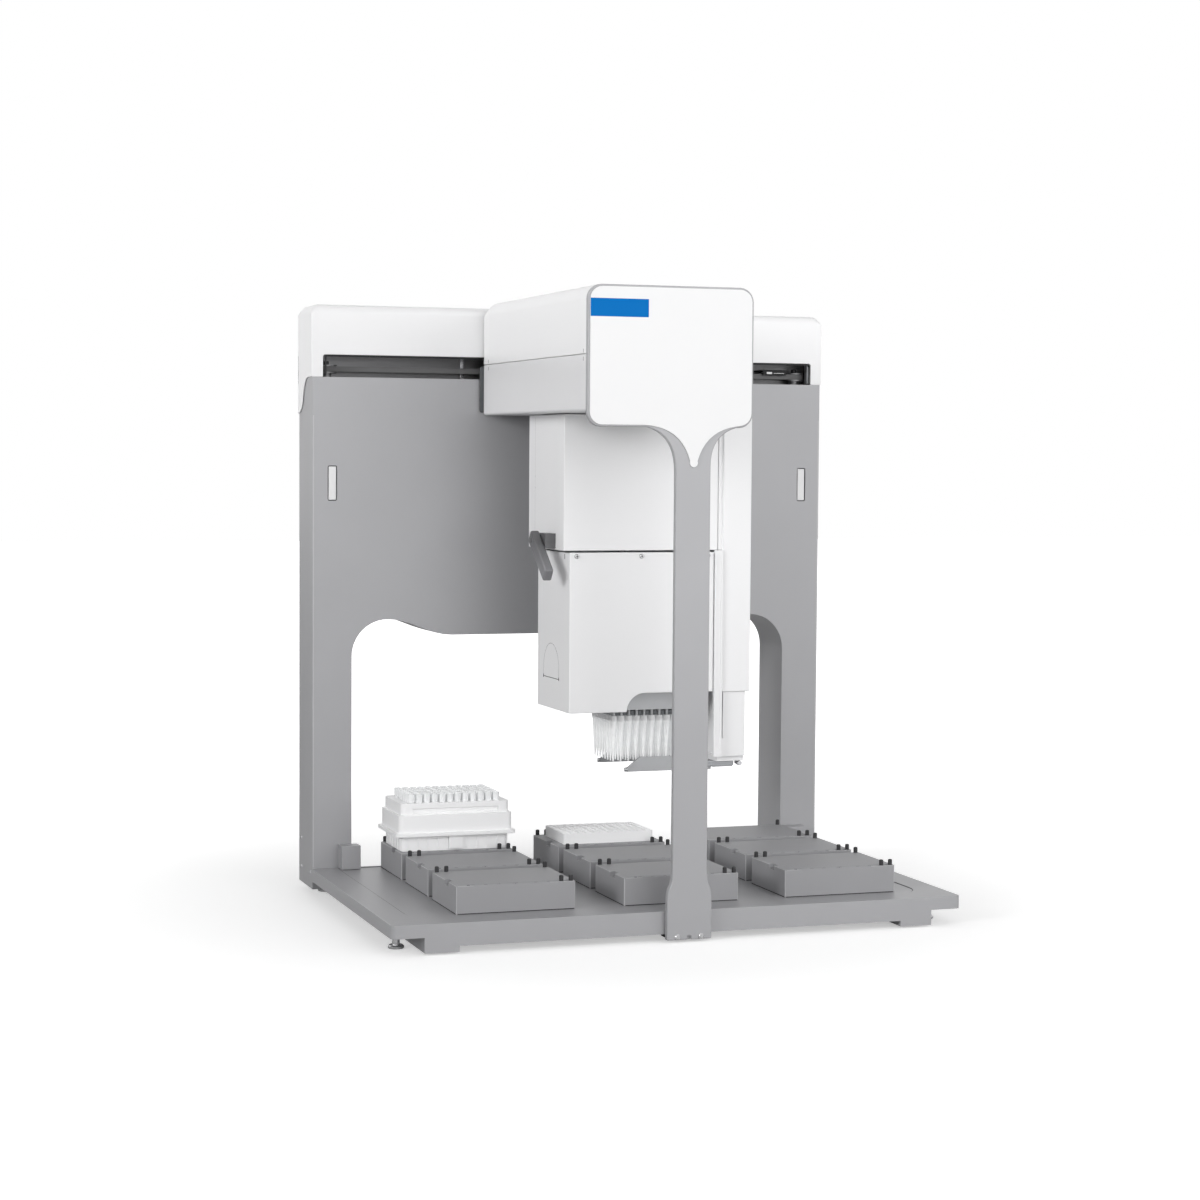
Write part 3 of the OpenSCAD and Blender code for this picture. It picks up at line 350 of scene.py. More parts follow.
def repeat(bm, verts, moves):
    """Copies of a shape, each moved from the first one's place."""
    faces = {f for v in verts for f in v.link_faces}
    edges = {e for v in verts for e in v.link_edges}
    shape = list(verts) + list(edges) + list(faces)
    for move in moves:
        copy = bmesh.ops.duplicate(bm, geom=shape)["geom"]
        bmesh.ops.translate(bm, vec=move,
                            verts=[g for g in copy if isinstance(g, bmesh.types.BMVert)])


def add_line(bm, points, line, depth):
    """A thin raised line through points of a plane that faces along X."""
    for start, end in zip(points, points[1:]):
        along = Vector(end) - Vector(start)
        bar = add_block(bm, (-depth / 2, -line / 2, -line / 4),
                        (depth / 2, line / 2, along.length + line / 4))
        bmesh.ops.rotate(bm, matrix=turn_to(along), verts=bar)
        bmesh.ops.translate(bm, vec=start, verts=bar)


def add_band(bm, low, high, corner, width):
    """A flat ring along a rectangle whose two front corners are rounded."""
    block = add_block(bm, low, high)
    upright = (high[2] - low[2]) / 2
    fronts = {e for v in block for e in v.link_edges
              if all(end.co.y < low[1] + corner for end in e.verts)
              and abs(e.verts[0].co.z - e.verts[1].co.z) > upright}
    round_edges(bm, fronts, corner, 12)
    bm.normal_update()
    lids = [face for face in bm.faces if abs(face.normal.z) > 0.5]
    bmesh.ops.inset_region(bm, faces=lids, thickness=width, use_even_offset=True)
    loops = list({e for lid in lids for e in lid.edges})
    bmesh.ops.delete(bm, geom=lids, context="FACES_ONLY")
    bmesh.ops.bridge_loops(bm, edges=loops)


def thread(bm, start, axis, radius, run, pitch):
    """A screw thread drawn as a stack of rounded grooves."""
    crest = radius * 1.08
    outline = []
    for turn in range(int(run / pitch)):
        outline += [(radius, turn * pitch), (crest, (turn + 0.3) * pitch),
                    (crest, (turn + 0.6) * pitch)]
    add_turned(bm, [(0.0, 0.0)] + outline + [(radius, run), (0.0, run)], start, axis, sides=16)


def soften(nodes, width, steps=2):
    """Joins each CAD node's triangles into flat faces and rounds its edges."""
    for node in nodes:
        piece = NODES[node]
        weld = piece.modifiers.new("Weld", "WELD")
        weld.merge_threshold = 1e-6
        flat = piece.modifiers.new("Flat faces", "DECIMATE")
        flat.decimate_type = "DISSOLVE"
        flat.angle_limit = math.radians(0.4)
        edge = piece.modifiers.new("Edges", "BEVEL")
        edge.width, edge.segments, edge.limit_method = width, steps, "ANGLE"
        edge.angle_limit = math.radians(35.0)
        edge.use_clamp_overlap = True
        shade_smooth(piece)


def shade_smooth(piece):
    """Smooth shading that keeps flat faces flat."""
    shading = piece.modifiers.new("Shading", "WEIGHTED_NORMAL")
    shading.keep_sharp = True
    for face in piece.data.polygons:
        face.use_smooth = True


FINISH = {}
PLACE_STEP = 0.009  # between the 96 places of a plate, a tip rack and the head
OTHER_PLACES = [(column * PLACE_STEP, row * PLACE_STEP, 0)
                for row in range(8) for column in range(12) if row or column]


# Steps ----------------------------------------------------------------------
# Places under mm() are measured in the frame that all parts share.

class ROBOT_OT_finishes(bpy.types.Operator):
    """Makes the materials, dresses every CAD node and rounds its edges"""
    bl_idname = "robot.finishes"
    bl_label = "Finishes"

    def execute(self, context):
        look, size = context.scene.robot_finishes, context.scene.robot_sizes
        low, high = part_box("lock_lever")
        FINISH.update(
            grey_paint=powder_coat("grey_paint", look.frame_grey, size.coat_grain, 0.40, 0.15),
            nest_grey=powder_coat("nest_grey", look.nest_grey, size.coat_grain, 0.5),
            white_paint=smooth_coat("white_paint", look.cover_white),
            arm_shade=smooth_coat("arm_shade", look.arm_shade),
            white_plastic=smooth_coat("white_plastic", look.cover_white, 0.4),
            face_white=smooth_coat("face_white", look.face_white, 0.3),
            accent_blue=smooth_coat("accent_blue", look.accent_blue, 0.45, shine=0.1),
            block_grey=machined("block_grey", (0.36, 0.365, 0.375), "Y", roughness=0.41),
            beam_grey=machined("beam_grey", (0.25, 0.25, 0.255), roughness=0.46),
            bare_alloy=machined("bare_alloy", (0.55, 0.56, 0.58)),
            dark_alloy=machined("dark_alloy", (0.1, 0.105, 0.11), roughness=0.43),
            rail_steel=machined("rail_steel", (0.6, 0.6, 0.62), "X", 40, 0.23),
            foot_steel=machined("foot_steel", (0.62, 0.62, 0.63), "Z", 30, 0.25),
            black_plastic=moulded("black_plastic", (0.022, 0.022, 0.024)),
            # This near-black serves real slits, seams, prints and black parts, and is also painted
            # shade at the nests' feet and in screw and bolt recesses.
            gap_black=moulded("gap_black", (0.008, 0.008, 0.009), 0.7),
            # The next finish is a light grey that paints the highlights along rounded edges.
            edge_light=smooth_coat("edge_light", (0.50, 0.50, 0.51), 0.3),
            line_grey=moulded("line_grey", (0.42, 0.42, 0.43), 0.6),
            # Both clear finishes are given a little emission: a painted glow that brightens the tips.
            rack_clear=clear_moulding("rack_clear", scaled(look.tip_clear, 0.95), 0.88, glow=0.08),
            seam_shade=moulded("seam_shade", (0.12, 0.12, 0.125), 0.6),
            lab_white=smooth_coat("lab_white", (0.95, 0.95, 0.955), 0.36),
            lever_grey=lever_lighter_below("lever_grey", look.lever_grey, high.z, low.z),
            belt_rubber=moulded("belt_rubber", (0.13, 0.13, 0.132), 0.65, grain=0.0011),
            clear_plastic=clear_moulding("clear_plastic", look.tip_clear, 0.8, glow=0.12),
        )
        self.dress_nodes()
        soften(("deck_tray", "back_frame", "front_column"), size.sheet_edge, 3)
        soften(("deck_frame", "deck_plate", "x_beam", "y_carriage", "head_chassis", "z_carriage",
                "x_carriage", "arm_beam", "plunger_plate", "x_motor", "y_motor", "z_motor"),
               size.fine_edge)
        soften(NESTS, size.nest_edge, 3)
        soften(("top_cover", "arm_upper_cover", "arm_lower_cover", "upper_housing", "head_cover",
                "gripper_tower", "gripper_slide"), size.cover_edge * 0.6, 3)
        soften(("face_plate", "accent_strip", "lever_base", "lock_lever", "foot_shoe",
                "power_switch", "front_blade", "back_blade", "tip_box", "rear_connectors"),
               size.fine_edge)
        return {"FINISHED"}

    def dress_nodes(self):
        """Gives each node the finish of its record's slot, or a nearer one."""
        wears = {row["node"]: row["material_slot"] for row in frame["record"]["subparts"]}
        wears["arm_lower_cover"] = "arm_shade"
        wears["barrel_block"] = wears["front_blade"] = wears["back_blade"] = "block_grey"
        wears["rack_tips"] = "rack_clear"
        wears["x_beam"] = wears["x_drive_pulley"] = wears["x_idler_pulley"] = "beam_grey"
        wears["tip_box"] = wears["microplate"] = "lab_white"
        for node, piece in NODES.items():
            for holder in piece.material_slots:
                holder.material = FINISH[wears[node]]


class ROBOT_OT_nest_trim(bpy.types.Operator):
    """Makes the painted contact shadow round the feet of the nine nests, their row marks, and the seam
    of the deck's plate
    """
    bl_idname = "robot.nest_trim"
    bl_label = "Nest trim"

    def execute(self, context):
        base_shadow, marks = bmesh.new(), bmesh.new()
        for nest in NESTS:
            low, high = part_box(nest)
            self.add_base_shadow(base_shadow, low, high)
            self.add_marks(marks, low, high)
        settle(base_shadow, "nest_painted_base_shadows", "base", "gap_black")
        settle(marks, "nest_row_marks", "base", "gap_black")

        low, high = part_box("deck_plate")
        corner, out, width, foot, top = mm(38.5, 0.5, 0.9, 0.05, 0.2)
        seam = bmesh.new()
        add_band(seam, (low.x - out, low.y - out, high.z + foot),
                 (high.x + out, high.y, high.z + top), corner, width)
        settle(seam, "plate_seam", "base", "seam_shade")
        return {"FINISHED"}

    # A thin black frame round the nest's foot: painted contact shadow where it meets the deck.
    def add_base_shadow(self, bm, low, high):
        proud, tall, lift, inset = mm(0.12, 0.8, 0.05, 1.5)
        foot = low.z + lift
        for y in (low.y - proud, high.y):
            add_block(bm, (low.x + inset, y, foot), (high.x - inset, y + proud, foot + tall))
        for x in (low.x - proud, high.x):
            add_block(bm, (x, low.y + inset, foot), (x + proud, high.y - inset, foot + tall))

    def add_marks(self, bm, low, high):
        sunk, row_in, line, ink = mm(0.4, 2.8, 0.7, 0.06)
        top, row, middle = high.z - sunk, low.y + row_in, (low.x + high.x) / 2
        spot_left, spot_right, spot = mm(12.5, 15.5, 3)
        spot_front, spot_back, spot_ink = mm(0.4, 2.4, 0.08)
        for x in (low.x + spot_left, high.x - spot_right):
            add_block(bm, (x, row - spot_front, top), (x + spot, row + spot_back, top + spot_ink))
        dash, half, stem = mm(4, 3, 2)
        for x in mm(-48, -34, -20, 20, 34, 48):
            add_block(bm, (middle + x, row, top), (middle + x + dash, row + line, top + ink))
        add_block(bm, (middle - half, row, top), (middle + half, row + line, top + ink))
        add_block(bm, (middle - line / 2, row - stem, top), (middle + line / 2, row, top + ink))


class ROBOT_OT_edge_beads(bpy.types.Operator):
    """Makes light rods along the rounded edges of nests, deck and frame: painted highlights where the
    rounded coat catches the light
    """
    bl_idname = "robot.edge_beads"
    bl_label = "Edge beads"

    def execute(self, context):
        lift = 0.00008
        beads = bmesh.new()
        # Rods up the nests' corners and along their top edges, each a painted highlight.
        for nest in NESTS:
            self.add_nest_beads(beads, *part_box(nest), lift)
        settle(beads, "nest_highlight_beads", "base", "edge_light")

        # A painted highlight along the deck's front top edge and its two side edges.
        beads = bmesh.new()
        low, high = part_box("deck_tray")
        rounding, bead, end, back_end = mm(2.5, 0.95, 6.5, 1)
        reach = (rounding - bead + lift) * math.sqrt(0.5)
        add_rod(beads, (low.x + end, low.y + rounding - reach, high.z - rounding + reach), RIGHT,
                bead, high.x - low.x - 2 * end, sides=16)
        for x in (low.x + bead, high.x - bead):
            add_rod(beads, (x, low.y + end, high.z - bead + lift), BACK, bead,
                    high.y - low.y - end - back_end, sides=16)
        settle(beads, "deck_highlight_beads", "base", "edge_light")

        # Painted highlights up the back frame's two front corners.
        beads = bmesh.new()
        front = high.y
        low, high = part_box("back_frame")
        bead, foot, top = mm(1.2, 34, 550)
        for x in (low.x + bead - lift, high.x - bead + lift):
            add_rod(beads, (x, front + bead - lift, foot), UP, bead, top - foot, sides=16)
        settle(beads, "frame_highlight_beads", "base", "edge_light")
        return {"FINISHED"}

    def add_nest_beads(self, bm, low, high, lift):
        corner, bead, foot, short = mm(1.5, 0.8, 1, 1.6)
        reach = (corner - bead + lift) * math.sqrt(0.5)
        for x in (low.x + corner - reach, high.x - corner + reach):
            for y in (low.y + corner - reach, high.y - corner + reach):
                add_rod(bm, (x, y, low.z + foot), UP, bead, high.z - low.z - short, sides=12)
        rim, sunk = mm(0.45, 0.4)
        inset, top = rim - lift / 2, high.z - sunk - rim + lift
        end, left_run, right_in, right_run = mm(2, 17.5, 28, 26)
        for x, run in ((low.x + end, left_run), (high.x - right_in, right_run)):
            add_rod(bm, (x, low.y + inset, top), RIGHT, rim, run, sides=10)
        front_run, back_in, back_short = mm(27.5, 44.5, 47)
        for y, run in ((low.y + end, front_run), (low.y + back_in, high.y - low.y - back_short)):
            add_rod(bm, (low.x + inset, y, top), BACK, rim, run, sides=10)


class ROBOT_OT_portal_trim(bpy.types.Operator):
    """Makes the window lenses, the parts in the travel slot, and the side marks and leg screws"""
    bl_idname = "robot.portal_trim"
    bl_label = "Portal trim"

    def execute(self, context):
        self.windows()
        self.slot_parts()
        self.side_marks()
        self.leg_screws()
        return {"FINISHED"}

    def windows(self):
        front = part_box("deck_tray")[1].y
        left, right = (corner.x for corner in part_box("back_frame"))
        apart, half, foot, top, margin, edge = mm(289, 4.5, 453.9, 492.1, 0.85, 0.9)
        rim_front, rim_back, lens_front, lens_back = (front + y for y in mm(1.4, 1.9, 0.5, 2.6))
        lenses, rims = bmesh.new(), bmesh.new()
        for x in ((left + right) / 2 - apart, (left + right) / 2 + apart):
            add_block(rims, (x - half - margin, rim_front, foot - margin),
                      (x + half + margin, rim_back, top + margin))
            add_block(lenses, (x - half, lens_front, foot), (x + half, lens_back, top), edge, 3)
        settle(rims, "window_rims", "base", "gap_black")
        settle(lenses, "window_lenses", "base", "face_white")

    def slot_parts(self):
        fine, plain, lamp_edge = mm(0.3, 0.5, 0.4)
        lip = bmesh.new()
        add_block(lip, mm(-300, 157.6, 616.5), mm(292, 159.2, 618.4), fine)
        add_block(lip, mm(-301.4, 157.6, 595.5), mm(-299.6, 159.2, 618.4), fine)
        settle(lip, "slot_lip", "base", "gap_black")

        flag = bmesh.new()
        add_block(flag, mm(-130.8, 199.1, 586), mm(-126.9, 200.05, 622), fine)
        settle(flag, "travel_flag", "base", "rail_steel")

        board, lamp = bmesh.new(), bmesh.new()
        add_block(board, mm(240, 171, 604.5), mm(270, 172.6, 611), fine)
        add_block(board, mm(240, 172.5, 609.4), mm(270, 200, 611), fine)
        add_block(lamp, mm(244.6, 170.3, 606), mm(251.6, 171.2, 608.6), lamp_edge, 3)
        add_block(lamp, mm(254, 170.7, 606.8), mm(267.2, 171.1, 607.3))
        settle(board, "end_sensor", "base", "gap_black")
        settle(lamp, "end_sensor_lamp", "base", "face_white")

        guard = bmesh.new()
        add_block(guard, mm(294.6, 164.5, 594.5), mm(297.6, 172, 616), plain)
        settle(guard, "idler_guard", "base", "bare_alloy")

    def side_marks(self):
        seam = bmesh.new()
        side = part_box("top_cover")[0].x
        proud, deep, front, back, foot, top = mm(0.1, 0.3, 225.7, 226.2, 587, 618.8)
        add_block(seam, (side - proud, front, foot), (side + deep, back, top))
        settle(seam, "cover_side_seam", "base", "gap_black")

        ticks = bmesh.new()
        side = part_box("arm_lower_cover")[0].x
        proud, deep, half, tall = mm(0.08, 0.1, 0.5, 4)
        for y in mm(133.3, -212.3):
            for z in mm(603, 611.2):
                add_block(ticks, (side - proud, y - half, z), (side + deep, y + half, z + tall))
        settle(ticks, "arm_side_marks", "gantry", "seam_shade")

    def leg_screws(self):
        left, right = (corner.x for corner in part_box("back_frame"))
        dome = [mm(0, 0.9), mm(1.2, 0.8), mm(2.1, 0.4), mm(2.3, 0)]
        screws = bmesh.new()
        for x, outwards in ((left, LEFT), (right, RIGHT)):
            for y, z in (mm(213.5, 26.7), mm(213.5, 60), mm(165, 26.7)):
                add_turned(screws, dome, (x, y, z), outwards)
        settle(screws, "leg_screws", "base", "rail_steel")


class ROBOT_OT_head_trim(bpy.types.Operator):
    """Makes the covers' fine lines, the painted shade of the screw recesses, the tip collars and the
    clamp lever
    """
    bl_idname = "robot.head_trim"
    bl_label = "Head trim"

    def execute(self, context):
        self.cover_lines()
        self.screw_recess_shades()
        self.tip_collars()
        self.clamp_lever()
        return {"FINISHED"}

    def cover_lines(self):
        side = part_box("head_cover")[0].x
        hatch, slit, line = bmesh.new(), bmesh.new(), bmesh.new()
        arch_y, arch_z, arch_r, foot_z, steps = *mm(-4.4, 271, 27.6, 260.3), 24
        arch = [(side, arch_y + arch_r, foot_z)]
        for turn in (math.pi * step / steps for step in range(steps + 1)):
            arch.append((side, arch_y + arch_r * math.cos(turn), arch_z + arch_r * math.sin(turn)))
        arch.append((side, arch_y - arch_r, foot_z))
        add_line(hatch, arch, *mm(0.35, 0.1))
        add_line(slit, [arch[0], arch[-1]], *mm(0.7, 0.14))
        proud, half, below, above = mm(0.1, 0.9, 1.6, 2.2)
        for y in (arch_y - arch_r, arch_y + arch_r):
            add_block(slit, (side - proud, y - half, foot_z - below),
                      (side + proud, y + half, foot_z + above))
        proud, deep, front, back, foot, top = mm(0.08, 0.1, -51.4, -50.2, 393.7, 399.2)
        add_block(slit, (side - proud, front, foot), (side + deep, back, top))

        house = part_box("upper_housing")[0].x
        proud, deep, front, back, foot, top = mm(0.05, 0.1, 39.4, 39.7, 410.5, 548.5)
        add_block(line, (house - proud, front, foot), (house + deep, back, top))
        dot_y, dot_r, dot_h = mm(38.5, 0.5, 0.1)
        for z in mm(470, 483):
            add_rod(line, (house, dot_y, z), LEFT, dot_r, dot_h, sides=12)
        settle(hatch, "hatch_line", "pipette_head", "seam_shade")
        settle(line, "housing_side_line", "head", "line_grey")
        settle(slit, "cover_slit", "pipette_head", "gap_black")

    def screw_recess_shades(self):
        low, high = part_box("cover_screws")
        front, z = low.y - 0.00004, (low.z + high.z) / 2
        arm, thin, slot_back, socket_r, socket_h = mm(1.5, 0.28, 0.5, 0.9, 2)
        # Black crosses and sockets laid on the screw heads: painted shade of their recesses.
        cross = bmesh.new()
        for x in mm(-74, 0.5, 78):
            for w, h in ((arm, thin), (thin, arm)):
                add_block(cross, (x - w, front, z - h), (x + w, low.y + slot_back, z + h))
            add_rod(cross, (x, front, z), BACK, socket_r, socket_h, sides=12)
        settle(cross, "screw_recess_shades", "pipette_head", "gap_black")

    def tip_collars(self):
        low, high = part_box("pipette_tips")
        inset, sunk = mm(3.1, 0.8)
        ring = [mm(3.05, -5), mm(3.5, -4.6), mm(3.6, 0), mm(3.3, 0.3), mm(2.4, 0.3)]
        collars = bmesh.new()
        first = add_turned(collars, ring, (low.x + inset, low.y + inset, high.z - sunk), sides=12)
        repeat(collars, first, OTHER_PLACES)
        settle(collars, "tip_collars", "tips", "white_plastic")

    def clamp_lever(self):
        """The lever is shaped upright at the origin, leaned, and taken to its pivot."""
        pivot, lean = mm(-105.3, -17, 413), math.radians(-52.9)
        half, breadth, below, above, edge = mm(5, 7.8, 61, 8.5, 2.2)
        stud_x, stud_r, stud_h, stud_edge = mm(4.5, 4, 7.5, 0.4)
        button = [mm(0, 0.8), mm(2.2, 0.7), mm(3.4, 0), mm(3.4, -0.6)]
        lever = bmesh.new()
        add_block(lever, (-half, -breadth, -below), (half, breadth, above), edge, 3)
        bmesh.ops.rotate(lever, matrix=Matrix.Rotation(lean, 3, "X"), verts=lever.verts[:])
        add_rod(lever, (stud_x, 0, 0), RIGHT, stud_r, stud_h, stud_edge)
        add_turned(lever, button, (-half, 0, 0), LEFT)
        bmesh.ops.translate(lever, vec=pivot, verts=lever.verts[:])
        shade_smooth(settle(lever, "clamp_lever", "lever", "lever_grey",
                            ("lock_lever",)))


class ROBOT_OT_gripper_trim(bpy.types.Operator):
    """Makes the ribbed grip rail, its small drive and the blades' stud caps"""
    bl_idname = "robot.gripper_trim"
    bl_label = "Gripper trim"

    def execute(self, context):
        teeth = context.scene.robot_sizes.rack_teeth
        top, left, right, front, back, foot, edge = mm(168, 84, 115.5, -57, -53, 162.5, 0.3)
        rail = bmesh.new()
        add_block(rail, (left, front, foot), (right, back, top), edge)
        rib_left, rib_run, rib_front, rib_back, rib_foot, rib_top, rib_edge = mm(
            84.3, 31, -60.3, -56.6, 162.8, 167.4, 0.2)
        pitch = rib_run / teeth
        first = add_block(rail, (rib_left, rib_front, rib_foot),
                          (rib_left + pitch * 0.55, rib_back, rib_top), rib_edge)
        repeat(rail, first, [(n * pitch, 0, 0) for n in range(1, teeth)])
        settle(rail, "grip_rail", "gripper", "bare_alloy")

        drive = bmesh.new()
        spindle = [mm(0, 0), mm(2.4, 0), mm(2.8, 0.5), mm(2.8, 7), mm(2, 7.4), mm(2, 12), mm(0, 12)]
        add_turned(drive, spindle, mm(121.2, -61.5, 165.1), BACK)
        settle(drive, "grip_drive", "gripper", "rail_steel")

        dome = [mm(0, 0.6), mm(1.4, 0.5), mm(2.3, 0), mm(2.3, -0.4)]
        stud_z, front_y, back_y = mm(158.6, -33.5, 59.5)
        for node, body, name, y in (("front_blade", "front_jaw", "front_stud_cap", front_y),
                                    ("back_blade", "back_jaw", "back_stud_cap", back_y)):
            cap = bmesh.new()
            add_turned(cap, dome, (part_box(node)[0].x, y, stud_z), LEFT)
            settle(cap, name, body, "white_plastic")
        return {"FINISHED"}


class ROBOT_OT_labware_trim(bpy.types.Operator):
    """Makes the well rims and skirt line of the microplate and the ribs of the tip box"""
    bl_idname = "robot.labware_trim"
    bl_label = "Labware trim"

    def execute(self, context):
        low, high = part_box("microplate")
        half_x, half_y = 5.5 * PLACE_STEP, 3.5 * PLACE_STEP
        ring = [mm(3.2, 0), mm(3.2, 0.35), mm(3.8, 0.35), mm(3.8, 0)]
        rims = bmesh.new()
        corner = ((low.x + high.x) / 2 - half_x, (low.y + high.y) / 2 - half_y, high.z)
        first = add_turned(rims, ring, corner, sides=14)
        repeat(rims, first, OTHER_PLACES)
        proud, end, sunk, tall = mm(0.1, 3, 9.5, 0.6)
        foot, top = high.z - sunk, high.z - sunk + tall
        add_block(rims, (low.x - proud, low.y + end, foot), (low.x, high.y - end, top))
        add_block(rims, (low.x + end, low.y - proud, foot), (high.x - end, low.y, top))
        settle(rims, "well_rims", "plate", "lab_white")

        low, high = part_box("tip_box")
        wall = low + Vector(mm(8, 7, 1))
        proud, deep, start, end, tall, edge, step = mm(0.7, 0.2, 6, 7.2, 14.5, 0.2, 11.6)
        ribs = bmesh.new()
        first = add_block(ribs, wall + Vector((start, -proud, 0)),
                          wall + Vector((end, deep, tall)), edge)
        repeat(ribs, first, [(n * step, 0, 0) for n in range(1, 11)])
        first = add_block(ribs, wall + Vector((-proud, start, 0)),
                          wall + Vector((deep, end, tall)), edge)
        repeat(ribs, first, [(0, n * step, 0) for n in range(1, 6)])
        settle(ribs, "tip_box_ribs", "tip_rack", "lab_white")
        return {"FINISHED"}


class ROBOT_OT_rear_trim(bpy.types.Operator):
    """Makes the inlet's blades, the ports' contacts and the rear panel's screws"""
    bl_idname = "robot.rear_trim"
    bl_label = "Rear trim"

    def execute(self, context):
        low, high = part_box("rear_connectors")
        centre_in, floor_in, blade_run = mm(30.2, 17.3, 11)
        centre, floor, z = high.x - centre_in, high.y - floor_in, (low.z + high.z) / 2
        blade_x, blade_z, blade_edge = mm(1, 2, 0.3)
        pins = bmesh.new()
        for x, lift in (mm(-18, 0), mm(-4, 0), mm(-11, -3)):
            add_block(pins, (centre + x - blade_x, floor, z + lift - blade_z),
                      (centre + x + blade_x, floor + blade_run, z + lift + blade_z), blade_edge)
        left, right, start, foot, top, step = mm(-3.5, -2.8, 5, 4.2, 5.2, 1)
        for x in mm(-79, -61):
            port = centre + x
            first = add_block(pins, (port + left, floor + start, z + foot),
                              (port + right, floor + blade_run, z + top))
            repeat(pins, first, [(n * step, 0, 0) for n in range(1, 8)])
        settle(pins, "connector_pins", "base", "rail_steel")

        low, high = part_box("rear_panel")
        side_in, end_in, rows = *mm(12, 30), 5
        dome = [mm(0, 0.8), mm(0.6, 0.8), mm(1.8, 0.6), mm(2.6, 0)]
        screws = bmesh.new()
        for row in range(rows):
            z = low.z + end_in + row * (high.z - low.z - 2 * end_in) / (rows - 1)
            for x in (low.x + side_in, high.x - side_in):
                add_turned(screws, dome, (x, high.y, z), BACK)
        settle(screws, "rear_screws", "base", "rail_steel")
        return {"FINISHED"}


class ROBOT_OT_drive_trim(bpy.types.Operator):
    """Makes the belt's teeth, the screws' threads and the painted shade of the rails' bolt recesses"""
    bl_idname = "robot.drive_trim"
    bl_label = "Drive trim"

    def execute(self, context):
        low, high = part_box("x_belt")
        pitch = context.scene.robot_sizes.tooth_pitch
        end_in, tooth, front, back, inset = mm(15, 1.3, 1.1, 1.8, 0.2)
        teeth = bmesh.new()
        first = add_block(teeth, (low.x + end_in, low.y + front, low.z + inset),
                          (low.x + end_in + tooth, low.y + back, high.z - inset))
        count = int((high.x - low.x - 2 * end_in) / pitch)
        repeat(teeth, first, [(n * pitch, 0, 0) for n in range(1, count)])
        settle(teeth, "belt_teeth", "base", "belt_rubber")

        self.screw_thread("y_screw", "y_thread", "y_leadscrew", BACK, *mm(20, 40, 4))
        self.screw_thread("z_screw", "z_thread", "z_leadscrew", UP, *mm(6, 30, 3))

        low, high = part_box("x_rails")
        row_in, first_in, step, proud = mm(5, 14, 40, 0.04)
        rim = [mm(0, 0), mm(2.4, 0), mm(2.8, 0.12), mm(3, 0)]
        # Black discs on the rails' face: painted shade of the bolt recesses.
        holes = bmesh.new()
        for z in (low.z + row_in, high.z - row_in):
            for n in range(14):
                add_turned(holes, rim, (low.x + first_in + n * step, low.y - proud, z), FRONT, sides=16)
        settle(holes, "rail_bolt_recess_shades", "base", "gap_black")
        return {"FINISHED"}

    def screw_thread(self, node, name, body, axis, plain_start, plain_both, pitch):
        """A thread on the screw's shaft, which stays plain at both ends."""
        low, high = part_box(node)
        along = Vector(axis)
        whole = (high - low).dot(along)
        start = (low + high) / 2 + along * (plain_start - whole / 2)
        shaft = (high.x - low.x) / 2 * 0.93
        grooves = bmesh.new()
        thread(grooves, start, axis, shaft, whole - plain_both, pitch)
        settle(grooves, name, body, "rail_steel")


